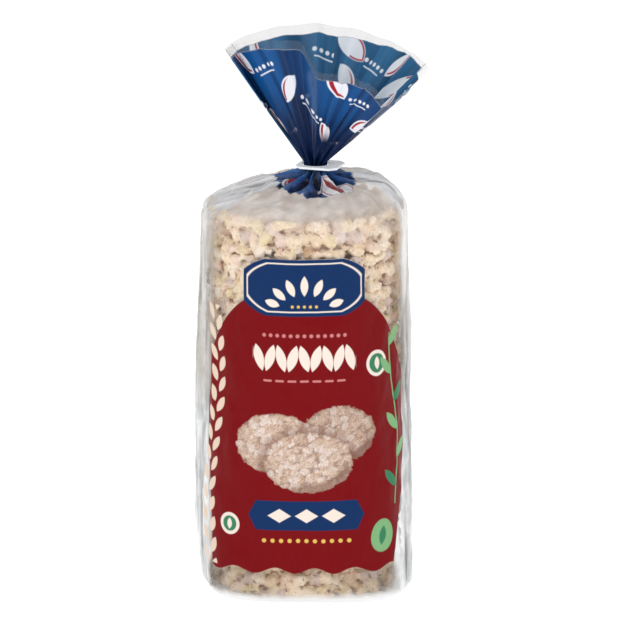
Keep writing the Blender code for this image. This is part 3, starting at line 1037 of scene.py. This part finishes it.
@dataclass(frozen=True)
class CakeFinish:
    """Popped rice: cream and pale grains of random tones, painted shade in the hollows and the cracks between them,
    bran flecks and dark grains.
    """

    dark_grain: Colour = srgb(146, 108, 88)
    brown_grain: Colour = srgb(206, 172, 142)
    mauve_grain: Colour = srgb(222, 204, 196)
    peach: Colour = srgb(246, 218, 196)
    cream: Colour = srgb(246, 224, 194)
    pale: Colour = srgb(250, 236, 218)
    yellow: Colour = srgb(240, 222, 180)
    # painted shade in the hollows, also laid at random as darker patches of tone
    shade: Colour = srgb(204, 172, 144)
    # painted shade in the cracks between grains
    gap_shade: Colour = srgb(116, 80, 58)
    bran: Colour = srgb(160, 112, 76)
    roughness: float = 0.7
    gloss: float = 0.3
    foam: float = 0.3 * MM
    kernel: float = 0.5 * MM

    def make(self) -> bpy.types.Material:
        """Writes the material."""
        shader = Shader("puffed_rice")
        place = shader.wire("ShaderNodeTexCoord", None, None, "Object")
        tone = shader.wire("ShaderNodeAttribute", {"attribute_name": "tone"}, None, "Fac")
        depth = shader.wire("ShaderNodeAttribute", {"attribute_name": "depth"}, None, "Fac")
        crack = shader.wire("ShaderNodeAttribute", {"attribute_name": "crack"}, None, "Fac")
        stops = [
            (0.0, self.dark_grain),
            (0.006, self.dark_grain),
            (0.02, self.brown_grain),
            (0.04, self.brown_grain),
            (0.08, self.mauve_grain),
            (0.14, self.mauve_grain),
            (0.22, self.peach),
            (0.34, self.cream),
            (0.55, self.pale),
            (0.75, self.cream),
            (0.9, self.yellow),
            (1.0, self.peach),
        ]
        colour = shader.wire("ShaderNodeValToRGB", {"stops": stops}, {0: tone})
        blotch = shader.noise(place, 260.0, 3.0, 0.6)
        # random yellower and darker patches of tone
        colour = shader.blend(shader.step(0.52, 0.7, blotch) * 0.4, colour, self.yellow)
        colour = shader.blend(shader.step(0.48, 0.3, blotch) * 0.45, colour, self.shade)
        fleck = shader.noise(place, 620.0, 2.0, 0.6)
        colour = shader.blend(shader.step(0.63, 0.7, fleck) * 0.85, colour, self.bran)
        # painted shade: darker in the hollows and in the cracks between grains
        colour = shader.blend(shader.step(0.15, 1.0, depth) * 0.55, colour, self.shade)
        colour = shader.blend(shader.step(0.4, 1.0, crack) * 0.8, colour, self.gap_shade)
        kernels, _ = shader.cells(place, 330.0)
        foam = shader.noise(place, 1400.0, 3.0, 0.65)
        normal = shader.bump(1.0 - kernels, self.kernel)
        bump = shader.node("ShaderNodeBump", None, {"Height": foam, "Distance": self.foam, "Normal": normal})
        inputs = {"Base Color": colour, "Roughness": self.roughness, "Specular IOR Level": self.gloss}
        inputs["Normal"] = Wire(shader, bump.outputs[0])
        return shader.finish(shader.surface(inputs).outputs[0])


@dataclass(frozen=True)
class ClipFinish:
    """White moulded plastic with a faint grain, and a faint painted glow of its own that lightens it."""

    colour: Colour = srgb(238, 243, 250)
    worn: Colour = srgb(222, 228, 236)
    roughness: float = 0.38
    # painted light: the plastic gives off a little light of its own
    glow: float = 0.2
    grain: float = 0.03 * MM

    def make(self) -> bpy.types.Material:
        """Writes the material."""
        shader = Shader("clip_plastic")
        place = shader.wire("ShaderNodeTexCoord", None, None, "Object")
        cloud = shader.noise(place, 180.0, 3.0, 0.6)
        colour = shader.blend(shader.step(0.45, 0.7, cloud), self.colour, self.worn)
        inputs = {"Base Color": colour, "Roughness": cloud * 0.2 + self.roughness - 0.1}
        # painted glow: a little white light given off all over the clip
        inputs |= {"Emission Color": (1.0, 1.0, 1.0, 1.0), "Emission Strength": self.glow}
        inputs["Normal"] = shader.bump(shader.noise(place, 2600.0, 2.0), self.grain)
        return shader.finish(shader.surface(inputs).outputs[0])


@dataclass(frozen=True)
class FloorFinish:
    """A plain pale floor that glows a little, as a lit white studio sweep does."""

    colour: Colour = (0.93, 0.93, 0.93, 1.0)
    glow: float = 0.42

    def make(self) -> bpy.types.Material:
        """Writes the material."""
        shader = Shader("floor")
        inputs = {"Base Color": self.colour, "Roughness": 0.9, "Specular IOR Level": 0.0}
        inputs["Emission Color"] = (1.0, 1.0, 1.0, 1.0)
        inputs["Emission Strength"] = self.glow
        return shader.finish(shader.surface(inputs).outputs[0])


# ---------------------------------------------------------------- the film


@dataclass
class Film:
    """The bag's film: the body up to the neck, and the fan above the clip."""

    form: BagForm = field(default_factory=BagForm)
    finish: FilmFinish = field(default_factory=FilmFinish)
    inks: Inks = field(default_factory=Inks)
    columns: int = 384
    fan_columns: int = 408
    body_rows: int = 116
    shoulder_rows: int = 84
    foot_rows: int = 10
    fan_rows: int = 100
    shoulder_length: float = 59 * MM
    fan_length: float = 69 * MM
    neck_pleats: int = 17
    shoulder_pleats: int = 13
    neck_fold_share: float = 0.78
    neck_tuck_reach: float = 11 * MM
    puff_folds: tuple = (-168, -141, -114, -83, -43, -11, 26, 62, 100, 138)
    puff_width: float = math.radians(9)
    puff_depth: float = 6.0 * MM
    puff_reach: float = 10 * MM
    join_z: float = 214.1 * MM
    wall: float = 0.16 * MM
    fan_creases: tuple = (
        (-150, -152, 0.7, 2.4),
        (-124, -136, -1.5, 2.2),
        (-112, -118, 1.0, 2.0),
        (-101, -103, -2.4, 2.4),
        (-90, -86, 1.5, 2.0),
        (-76, -70, -1.7, 2.4),
        (-58, -52, 0.9, 2.0),
        (-40, -31, -1.2, 2.2),
        (38, 34, -1.6, 2.6),
        (72, 66, 1.4, 2.0),
        (97, 101, -1.5, 2.6),
        (131, 127, 1.3, 2.2),
        (158, 150, -1.2, 2.0),
    )
    side_folds: tuple = (
        (-31, 0.6, 2.2),
        (-20, -0.7, 2.0),
        (-9, 0.9, 1.8),
        (5, -0.8, 1.6),
        (14, 0.9, 2.0),
        (25, -0.6, 2.4),
        (34, 0.5, 2.6),
    )

    def build(self) -> None:
        """Builds and dresses both pieces of film."""
        angles = self._angles(self.columns)
        arc = self._arc(angles)
        self.half_round = arc[-1]
        self.neck_mark = self.form.shoulder_z + self.shoulder_length
        marks = FilmMarks(
            half_round=self.half_round / MM,
            shoulder=self.form.shoulder_z / MM,
            neck=self.neck_mark / MM,
            rim=(self.neck_mark + self.fan_length) / MM,
        )
        writer = FilmMaterial(self.finish, self.inks, marks)
        self._body(angles, arc, writer)
        self._fan(writer)

    @staticmethod
    def _angles(columns: int) -> np.ndarray:
        """Angles from the seam at the back, round by the left, front and right, to the seam again."""
        return np.linspace(-1.5 * math.pi, 0.5 * math.pi, columns + 1)

    def _arc(self, angles: np.ndarray) -> np.ndarray:
        """Each column's distance round the film from the front's middle line."""
        ring = self.form.body_ring(angles, 0.45 * self.form.shoulder_z)
        steps = np.linalg.norm(np.diff(ring, axis=0), axis=1)
        run = np.concatenate([[0], np.cumsum(steps)])
        return run - np.interp(-0.5 * math.pi, angles, run)

    def pleats(self, angle: np.ndarray, count: int, phase: float = 0.0) -> np.ndarray:
        """Folds of uneven width round the bag, from -1 to 1."""
        drift = 1.1 * np.sin(2 * angle + 0.7) + 0.7 * np.sin(3 * angle + 2.1) + phase
        strength = 1 - 0.25 * (1 - np.sin(5 * angle))
        return np.sin(count * angle + drift) * strength

    def neck_fold(self, angle: np.ndarray) -> np.ndarray:
        """How far the gathered film is tucked in at the neck, from 0 on a crest to 1 in a fold."""
        return 0.5 - 0.5 * self.pleats(angle, self.neck_pleats)

    def puff_fold(self, angle: np.ndarray, travel: float) -> np.ndarray:
        """The gathered film under the clip: 0 on a round crest and 1 in a sharp fold."""
        deepest = np.zeros_like(angle)
        for place in self.puff_folds:
            line = math.radians(place + 5 * math.sin(travel / (7 * MM) + place))
            deepest = np.maximum(deepest, crease(angle, line, self.puff_width))
        return deepest

    def _sheet(
        self, name: str, rings: np.ndarray, arc: np.ndarray, along: np.ndarray, gather: np.ndarray
    ) -> bpy.types.Object:
        """Wraps a flat grid round the bag.

        Args:
            name: The piece's name.
            rings: The place of each row and column.
            arc: Each column's distance round the film.
            along: Each row's distance up the film.
            gather: How deep each place lies in the folds of the gathered film, from 0 to 1.

        Returns:
            The closed sheet with its own map of the film.
        """
        rows, columns = rings.shape[0] - 1, rings.shape[1] - 1
        bpy.ops.object.select_all(action="DESELECT")
        bpy.ops.mesh.primitive_grid_add(x_subdivisions=columns, y_subdivisions=rows, size=1, calc_uvs=False)
        piece = new_piece(name)
        mesh = piece.data
        flat = points_of(mesh)
        column = np.rint((flat[:, 0] + 0.5) * columns).astype(int)
        row = np.rint((flat[:, 1] + 0.5) * rows).astype(int)
        move_points(mesh, rings[row, column])
        corner = np.empty(len(mesh.loops), np.int32)
        mesh.loops.foreach_get("vertex_index", corner)
        layer = mesh.uv_layers.new(name=FILM_MAP)
        place = np.stack([arc[column[corner]], along[row[corner]]], axis=1)
        layer.data.foreach_set("uv", place.astype(np.float32).ravel())
        store(mesh, "crest", self._crests(rings)[row, column])
        store(mesh, "gather", gather[row, column])
        only(piece)
        bpy.ops.object.mode_set(mode="EDIT")
        bpy.ops.mesh.select_all(action="SELECT")
        bpy.ops.mesh.remove_doubles(threshold=0.001 * MM)
        bpy.ops.object.mode_set(mode="OBJECT")
        bpy.ops.object.shade_smooth()
        return piece

    def _body(self, angles: np.ndarray, arc: np.ndarray, writer: FilmMaterial) -> None:
        """The body: flat foot, sides, shoulder and the neck's lower half."""
        form = self.form
        foot_shares = np.linspace(0, 1, self.foot_rows + 1)[:-1]
        foot_heights = form.foot_round_left * (1 - np.cos(np.linspace(0, math.pi / 2, 7)))
        heights = np.concatenate([foot_heights, np.linspace(form.foot_round_left, form.shoulder_z, self.body_rows)[1:]])
        outs = np.cos(np.linspace(0, math.pi / 2, self.shoulder_rows + 1))[1:-1] ** 1.15
        rim = form.body_ring(angles, 0.0)
        rings = [rim * [share, share, 1] for share in foot_shares]
        along = [-form.cake_radius * (1 - share) for share in foot_shares]
        for z in heights:
            rings.append(self._side_ring(angles, z))
            along.append(z)
        for out in outs:
            rings.append(self._shoulder_ring(angles, out))
            along.append(form.shoulder_z + (1 - out) * self.shoulder_length)
        tucked = form.neck_radius * (1 - self.neck_fold_share * self.neck_fold(angles))
        for z in (form.neck_z, self.join_z):
            rings.append(form.neck_ring(angles, z, tucked))
            along.append(self.neck_mark + z - form.neck_z)
        travels = np.maximum(self.neck_mark - np.array(along), 0)
        shown = fade(2 * MM, 8 * MM, travels) * fade(50 * MM, 30 * MM, travels)
        gather = np.array([self.puff_fold(angles, travel) for travel in travels]) * shown[:, None]
        piece = self._sheet("film_body", self._rumpled(np.array(rings)), arc, np.array(along), gather)
        for side in (Side.CLEAR, Side.FRONT, Side.BACK):
            piece.data.materials.append(writer.make(side))
        self._part_faces(piece)
        dress(piece, Slot.FILM, BAG_NODE)

    def _side_ring(self, angles: np.ndarray, z: float) -> np.ndarray:
        """The body's section with sharp folds at both sides and a soft pull over each cake."""
        ring = self.form.body_ring(angles, z)
        push = np.zeros_like(angles)
        calm = fade(0.0, 9 * MM, z) * (1 - 0.6 * fade(0.75 * self.form.shoulder_z, self.form.shoulder_z, z))
        for side, phase in ((0.0, 0.0), (math.pi, 2.0)):
            for place, height, width in self.side_folds:
                meander = 3.0 * math.sin(z / (19 * MM) + place + phase) + 1.6 * math.sin(z / (7 * MM) + 2 * place)
                line = side + math.radians(place + meander)
                swell = 0.75 + 0.35 * math.sin(z / (26 * MM) + 1.7 * place + phase)
                push += height * MM * swell * crease(angles, line, math.radians(width))
        push *= calm
        outward = np.stack([np.cos(angles), np.sin(angles), np.zeros_like(angles)], axis=1)
        return ring + outward * push[:, None]

    def _shoulder_ring(self, angles: np.ndarray, out: float) -> np.ndarray:
        """The shoulder's section, with shallow pleats that turn into the deep ones of the neck."""
        form = self.form
        ring = form.shoulder_ring(angles, out)
        centre = np.array([form.neck_x * (1 - out), 0, 0])
        outward = ring - centre
        outward[:, 2] = 0
        outward /= np.linalg.norm(outward, axis=1, keepdims=True)
        travel = out * self.shoulder_length
        tuck = self.neck_fold_share * form.neck_radius * math.exp(-((travel / self.neck_tuck_reach) ** 1.3))
        fold = self.neck_fold(angles)
        ring -= outward * (tuck * fold)[:, None]
        ring[:, 2] -= 0.45 * tuck * fold
        sag = self.puff_depth * travel / self.puff_reach * math.exp(1 - travel / self.puff_reach)
        valley = sag * self.puff_fold(angles, travel)
        ring -= outward * (0.4 * valley)[:, None]
        ring[:, 2] -= valley + 0.1 * sag
        reach = math.sin(math.pi * math.sqrt(out)) * (0.25 + 0.75 * np.cos(angles) ** 2)
        wide = self.pleats(angles, self.shoulder_pleats)
        fine = self.pleats(angles, 31, 1.3)
        ring[:, 2] += (0.8 * MM * wide + 0.3 * MM * fine) * reach
        return ring

    @staticmethod
    def _rumpled(rings: np.ndarray) -> np.ndarray:
        """Adds the small unevenness of soft film, everywhere but on the flat foot and at the neck."""
        normal = sheet_normals(rings)
        height = rings[..., 2]
        calm = fade(1 * MM, 8 * MM, height) * fade(213 * MM, 205 * MM, height)
        lumps = rumple((rings * [1, 1, 0.6]).reshape(-1, 3), 17 * MM, 3).reshape(height.shape)
        crumple = np.abs(rumple(rings.reshape(-1, 3), 15 * MM, 2).reshape(height.shape))
        high = fade(190 * MM, 200 * MM, height)
        push = (lumps * 0.8 - crumple * high * 1.8) * calm * MM
        push[:, -1] = push[:, 0]
        return rings + normal * push[..., None]

    @staticmethod
    def _crests(rings: np.ndarray) -> np.ndarray:
        """How sharply the film stands out on a fold at each row and column, from -1 to 1."""
        reach = 5
        turning = rings[:, :-1]
        shifts = [np.roll(turning, shift, axis=1) for shift in range(-reach, reach + 1)]
        normal = sheet_normals(rings)[:, :-1]
        stands = np.sum((turning - np.mean(shifts, axis=0)) * normal, axis=2)
        stands -= np.mean(stands, axis=1, keepdims=True)
        window = np.linalg.norm(shifts[0] - shifts[-1], axis=2)
        crest = np.clip(stands / np.maximum(0.05 * window, 0.01 * MM), -1, 1)
        return np.concatenate([crest, crest[:, :1]], axis=1)

    def _part_faces(self, piece: bpy.types.Object) -> None:
        """Gives the front and the back of the body their printed materials."""
        mesh = piece.data
        centres = np.empty(len(mesh.polygons) * 3, np.float32)
        mesh.polygons.foreach_get("center", centres)
        x, y, z = centres.reshape(-1, 3).T
        angle = np.arctan2(y, x)
        high = (z > 4 * MM) & (z < 184 * MM)
        kinds = np.zeros(len(mesh.polygons), np.int32)
        kinds[high & (angle < math.radians(-4)) & (angle > math.radians(-176))] = 1
        kinds[high & (angle > math.radians(18)) & (angle < math.radians(162))] = 2
        mesh.polygons.foreach_set("material_index", kinds)

    def _fan(self, writer: FilmMaterial) -> None:
        """The fan: deep tucks at the neck that open into broad pleats at the rim."""
        form = self.form
        angles = self._angles(self.fan_columns)
        arc = self._arc(angles)
        fold = self.neck_fold(angles)
        tucked = form.neck_radius * (1 - self.neck_fold_share * fold)
        rings = [form.neck_ring(angles, z, tucked) for z in np.linspace(self.join_z, form.neck_top_z, 3)]
        along = [self.neck_mark + z - form.neck_z for z in np.linspace(self.join_z, form.neck_top_z, 3)]
        full = form.neck_ring(angles, form.neck_top_z, np.full(len(angles), form.neck_radius))
        direction = form.fan_direction(angles)
        turned = np.stack([np.cos(angles), np.sin(angles), np.zeros_like(angles)], axis=1)
        outward = turned - direction * np.sum(turned * direction, axis=1, keepdims=True)
        outward /= np.linalg.norm(outward, axis=1, keepdims=True)
        steps = self.fan_length * np.linspace(0, 1, self.fan_rows + 1)[1:] ** 1.2
        for step in steps:
            share = step / self.fan_length
            tuck = self.neck_fold_share * form.neck_radius * math.exp(-step / (13 * MM))
            push = self._fan_folds(angles, share) - tuck * fold
            rings.append(full + direction * step + outward * push[:, None])
            along.append(self.neck_mark + step)
        piece = self._sheet("film_fan", np.array(rings), arc, np.array(along), np.zeros((len(rings), len(angles))))
        piece.data.materials.append(writer.make(Side.FAN_OUT))
        piece.data.materials.append(writer.make(Side.FAN_IN))
        apply_modifier(piece, "SOLIDIFY", thickness=self.wall, offset=-1.0, material_offset=1, use_rim=True)
        dress(piece, Slot.FILM, BAG_NODE)

    def _fan_folds(self, angles: np.ndarray, share: float) -> np.ndarray:
        """How far the fan's film stands out: broad and calm at the front left, fluted at the back."""
        lobe = self.form.lobe_share(angles)
        back = fade(-0.1, 0.5, np.sin(angles))
        fluted = self.pleats(angles, self.neck_pleats) * (2.2 * back + 0.9 * (1 - back) * (1 - lobe))
        fine = self.pleats(angles, 34, 0.9) * (0.5 * back + 0.25)
        broad = lobe * 1.3 * np.sin(4.2 * (angles + 0.3))
        push = (fluted + fine * (1 - share) + broad) * share * (1.25 - 0.35 * share)
        for low, high, height, width in self.fan_creases:
            line = math.radians(low + (high - low) * share)
            push = push + height * crease(angles, line, math.radians(width)) * min(1.0, 2.5 * share)
        return push * MM


# ---------------------------------------------------------------- the cakes


@dataclass
class CakeStack:
    """Ten cakes of puffed rice on one another."""

    count: int = 10
    kinds: int = 3
    radius: float = 49.2 * MM
    thickness: float = 19.4 * MM
    foot: float = 1.6 * MM
    edge_round: float = 2.2 * MM
    grain: float = 6.6 * MM
    grain_half: tuple = (4.3 * MM, 3.3 * MM, 2.8 * MM)
    small_share: float = 0.3
    knobs: int = 5
    core_inset: float = 4.9 * MM
    face_inset: float = 3.6 * MM
    proud: float = 0.9 * MM
    edge_row: float = 2.5 * MM
    corner_grain: float = 8.4 * MM
    voxel: float = 0.9 * MM
    kept_share: float = 0.62
    seed: int = 11
    finish: CakeFinish = field(default_factory=CakeFinish)

    def build(self) -> None:
        """Models each kind of cake once and stacks copies, each turned its own way."""
        material = self.finish.make()
        models = [self._model(kind) for kind in range(self.kinds)]
        rng = np.random.default_rng(self.seed)
        for place in range(self.count):
            model = models[place % self.kinds]
            cake = bpy.data.objects.new(f"cake_{place + 1:02d}", model.data.copy())
            bpy.context.scene.collection.objects.link(cake)
            cake.data.name = cake.name
            over = math.pi if rng.random() < 0.5 else 0.0
            turn = Euler((over, 0, rng.uniform(0, TURN))).to_matrix()
            points = points_of(cake.data) @ np.array(turn).T
            points[:, :2] += rng.uniform(-0.5, 0.5, 2) * MM
            points[:, 2] += self.foot + (place + 0.5) * self.thickness
            move_points(cake.data, points)
            cake.data.materials.append(material)
            dress(cake, Slot.CAKE, BAG_NODE)
        for model in models:
            bpy.data.objects.remove(model)

    def _grain_places(self, rng: np.random.Generator) -> np.ndarray:
        """Centres and sizes of the grains over both faces and round the edge."""
        places = []
        half = self.thickness / 2
        inset = self.grain_half[1]
        reach = self.radius - inset
        count = int(reach / self.grain) + 2
        for face in (-1, 1):
            for i in range(-count, count + 1):
                for j in range(-count - 1, count + 2):
                    x, y = (i + 0.5 * (j % 2)) * self.grain, j * self.grain * 0.87
                    x, y = x + rng.uniform(-0.33, 0.33) * self.grain, y + rng.uniform(-0.33, 0.33) * self.grain
                    if math.hypot(x, y) < reach - 2.5 * MM:
                        z = face * (half - inset - rng.uniform(-0.2, 1.4) * MM)
                        places.append((x, y, z, self._grain_size(rng)))
        around = int(TURN * reach / self.grain)
        for row in range(3):
            for spot in range(around):
                turn = TURN * (spot + 0.5 * (row % 2) + rng.uniform(-0.36, 0.36)) / around
                radius = reach - rng.uniform(-0.2, 2.2) * MM
                height = (row - 1) * (half - self.edge_row) + rng.uniform(-1.6, 1.6) * MM
                places.append((radius * math.cos(turn), radius * math.sin(turn), height, self._grain_size(rng)))
        around = int(TURN * reach / self.corner_grain)
        for spot in range(2 * around):
            turn = TURN * (spot + rng.uniform(-0.36, 0.36)) / around
            height = (half - rng.uniform(0.9, 2.4) * MM) * (1 if spot < around else -1)
            radius = reach + rng.uniform(-0.2, 1.1) * MM
            places.append((radius * math.cos(turn), radius * math.sin(turn), height, 0.62))
        return np.array(places)

    def _grain_size(self, rng: np.random.Generator) -> float:
        """A grain's size, where some are small."""
        return 0.62 if rng.random() < self.small_share else 1.0

    def _grain_shells(self, rng: np.random.Generator, place: np.ndarray, ball: np.ndarray) -> list[np.ndarray]:
        """The balls of one popped grain: a long body and the knobs that burst from it."""
        turn = np.array(Euler(rng.uniform(0, TURN, 3)).to_matrix())
        size = np.array(self.grain_half) * place[3] * rng.uniform(0.82, 1.2, 3)
        shells = [(ball * size) @ turn.T + place[:3]]
        for _ in range(self.knobs):
            way = rng.normal(size=3)
            way *= size.mean() * rng.uniform(0.75, 1.05) / np.linalg.norm(way)
            shells.append(ball * rng.uniform(0.9, 2.1) * MM + place[:3] + way)
        return shells

    def _model(self, kind: int) -> bpy.types.Object:
        """One cake round the origin: a core with popped grains over it, melted into one skin."""
        rng = np.random.default_rng(self.seed + 7 * kind)
        places = self._grain_places(rng)
        bpy.ops.object.select_all(action="DESELECT")
        bpy.ops.mesh.primitive_ico_sphere_add(subdivisions=2, radius=1)
        primitive = new_piece("grain")
        ball = points_of(primitive.data)
        faces = np.empty(len(primitive.data.polygons) * 3, np.int32)
        primitive.data.polygons.foreach_get("vertices", faces)
        faces = faces.reshape(-1, 3)
        bpy.data.objects.remove(primitive)
        tones = rng.random(len(places))
        shells = [shell for place in places for shell in self._grain_shells(rng, place, ball)]
        points = np.concatenate(shells)
        all_faces = np.concatenate([faces + len(ball) * n for n in range(len(shells))])
        self._keep_in(points)
        mesh = bpy.data.meshes.new("cake_model")
        mesh.from_pydata(points.tolist(), [], all_faces.tolist())
        model = bpy.data.objects.new("cake_model", mesh)
        bpy.context.scene.collection.objects.link(model)
        self._join_core(model)
        apply_modifier(model, "REMESH", mode="VOXEL", voxel_size=self.voxel, use_smooth_shade=True)
        self._drop_crumbs(model)
        self._roughen(model.data)
        apply_modifier(model, "DECIMATE", ratio=self.kept_share)
        self._colour_grains(model.data, places[:, :3], tones)
        return model

    def _keep_in(self, points: np.ndarray) -> None:
        """Presses what stands out of the cake's round mould back into it."""
        half = self.thickness / 2 + self.proud
        reach = np.hypot(points[:, 0], points[:, 1])
        height = np.clip(points[:, 2], -half, half)
        corner = np.maximum(np.abs(height) - (half - self.edge_round), 0)
        limit = self.radius + 0.2 * MM - self.edge_round + np.sqrt(self.edge_round**2 - corner**2)
        points[:, :2] *= np.minimum(1, limit / np.maximum(reach, 1e-9))[:, None]
        flat = self.thickness / 2 - 0.1 * MM
        inner = fade(self.radius - 4 * MM, self.radius - 12 * MM, reach)
        points[:, 2] = np.clip(height, -half + (half - flat) * inner, half - (half - flat) * inner)

    def _join_core(self, model: bpy.types.Object) -> None:
        """Fills the cake under its grains."""
        bpy.ops.object.select_all(action="DESELECT")
        radius, depth = self.radius - self.core_inset, self.thickness - 2 * self.face_inset
        bpy.ops.mesh.primitive_cylinder_add(vertices=96, radius=radius, depth=depth)
        core = new_piece("core")
        core.select_set(True)
        model.select_set(True)
        bpy.context.view_layer.objects.active = model
        bpy.ops.object.join()

    @staticmethod
    def _drop_crumbs(model: bpy.types.Object) -> None:
        """Deletes what hangs in the air or in a hole of the skin, as it is not joined to the cake's rim."""
        only(model)
        reach = np.hypot(*points_of(model.data)[:, :2].T)
        bpy.ops.object.mode_set(mode="EDIT")
        bpy.ops.mesh.select_all(action="DESELECT")
        bpy.ops.object.mode_set(mode="OBJECT")
        model.data.vertices[int(np.argmax(reach))].select = True
        bpy.ops.object.mode_set(mode="EDIT")
        bpy.ops.mesh.select_linked()
        bpy.ops.mesh.select_all(action="INVERT")
        bpy.ops.mesh.delete(type="VERT")
        bpy.ops.object.mode_set(mode="OBJECT")

    @staticmethod
    def _roughen(mesh: bpy.types.Mesh) -> None:
        """Gives the skin the fine knobs of popped grain."""
        points = points_of(mesh)
        lumps = rumple(points, 2.6 * MM, 3)
        move_points(mesh, points + normals_of(mesh) * (lumps * 0.5 * MM)[:, None])

    @staticmethod
    def _colour_grains(mesh: bpy.types.Mesh, places: np.ndarray, tones: np.ndarray) -> None:
        """Stores each grain's own tone, how deep the skin lies, and the sharp cracks between the grains, from which the
        finish paints shade.
        """
        tree = kdtree.KDTree(len(places))
        for index, place in enumerate(places):
            tree.insert(place, index)
        tree.balance()
        points = points_of(mesh)
        wobbled = points + rumple(points, 3 * MM, 2)[:, None] * 0.8 * MM
        near = np.array([tree.find(point)[1] for point in wobbled])
        store(mesh, "tone", tones[near])
        store(mesh, "depth", np.clip(hollows(mesh, 24) / (1.9 * MM), 0, 1))
        store(mesh, "crack", np.clip(hollows(mesh, 5) / (0.75 * MM), 0, 1))


# ---------------------------------------------------------------- the clip


@dataclass
class Clip:
    """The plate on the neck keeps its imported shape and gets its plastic."""

    finish: ClipFinish = field(default_factory=ClipFinish)

    def build(self) -> None:
        """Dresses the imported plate."""
        plate = frame["nodes"][CLIP_NODE]
        plate.data.materials.clear()
        plate.data.materials.append(self.finish.make())
        LOG.info("%s: %d faces", plate.name, len(plate.data.polygons))


# ---------------------------------------------------------------- the studio


@dataclass
class Studio:
    """A pale floor, soft lights and a long lens that looks a little down at the bag."""

    elevation: float = math.radians(14.5)
    distance: float = 3.0
    view_width: float = 315.1 * MM
    sensor: float = 36.0
    aim: tuple = (4.5 * MM, 0.0, 137.2 * MM)
    floor_size: float = 9.0
    sky: float = 0.47
    finish: FloorFinish = field(default_factory=FloorFinish)

    def build(self) -> None:
        """Sets up the floor, the world, the lights and the camera."""
        self._floor()
        self._world()
        self._lamp("key_light", (-1.3, -1.9, 1.5), 1.1, 21.0)
        self._lamp("fill_light", (1.8, -1.5, 0.9), 1.4, 11.0)
        self._lamp("top_light", (0.2, 0.3, 2.0), 1.2, 11.0)
        self._camera()
        bpy.context.scene.view_settings.view_transform = "Standard"

    def _floor(self) -> None:
        """Adds the floor just under the bag."""
        bpy.ops.object.select_all(action="DESELECT")
        bpy.ops.mesh.primitive_plane_add(size=self.floor_size, location=(0, 0, -0.05 * MM))
        floor = new_piece("floor")
        bpy.ops.object.transform_apply(location=True, rotation=False, scale=False)
        floor.data.materials.append(self.finish.make())

    def _world(self) -> None:
        """An even pale sky, white where the camera sees it."""
        world = bpy.data.worlds.new("studio")
        bpy.context.scene.world = world
        world.use_nodes = True
        tree = world.node_tree
        tree.nodes.clear()
        sky = tree.nodes.new("ShaderNodeBackground")
        sky.inputs["Color"].default_value = (1.0, 1.0, 1.0, 1.0)
        sky.inputs["Strength"].default_value = self.sky
        seen = tree.nodes.new("ShaderNodeBackground")
        seen.inputs["Color"].default_value = (1.0, 1.0, 1.0, 1.0)
        ray = tree.nodes.new("ShaderNodeLightPath")
        mixed = tree.nodes.new("ShaderNodeMixShader")
        output = tree.nodes.new("ShaderNodeOutputWorld")
        tree.links.new(ray.outputs["Is Camera Ray"], mixed.inputs[0])
        tree.links.new(sky.outputs[0], mixed.inputs[1])
        tree.links.new(seen.outputs[0], mixed.inputs[2])
        tree.links.new(mixed.outputs[0], output.inputs["Surface"])

    def _lamp(self, name: str, place: tuple, size: float, power: float) -> None:
        """Adds a square soft light that points at the bag."""
        facing = Vector(self.aim) - Vector(place)
        turn = facing.to_track_quat("-Z", "Y").to_euler()
        bpy.ops.object.light_add(type="AREA", location=place, rotation=turn)
        lamp = bpy.context.object
        lamp.name = name
        lamp.data.size = size
        lamp.data.energy = power

    def _camera(self) -> None:
        """Adds the camera in front of the bag."""
        away = Vector((0, -math.cos(self.elevation), math.sin(self.elevation)))
        place = Vector(self.aim) + away * self.distance
        bpy.ops.object.camera_add(location=place, rotation=(math.pi / 2 - self.elevation, 0, 0))
        camera = bpy.context.object
        camera.name = "camera"
        camera.data.sensor_width = self.sensor
        camera.data.lens = self.sensor * self.distance / self.view_width
        camera.data.clip_end = 30.0
        bpy.context.scene.camera = camera


def main() -> None:
    """Builds the studio, the cakes, the film and the clip."""
    logging.basicConfig(level=logging.INFO, format="%(name)s %(message)s")
    Studio().build()
    CakeStack().build()
    Film().build()
    Clip().build()


if __name__ == "__main__":
    main()
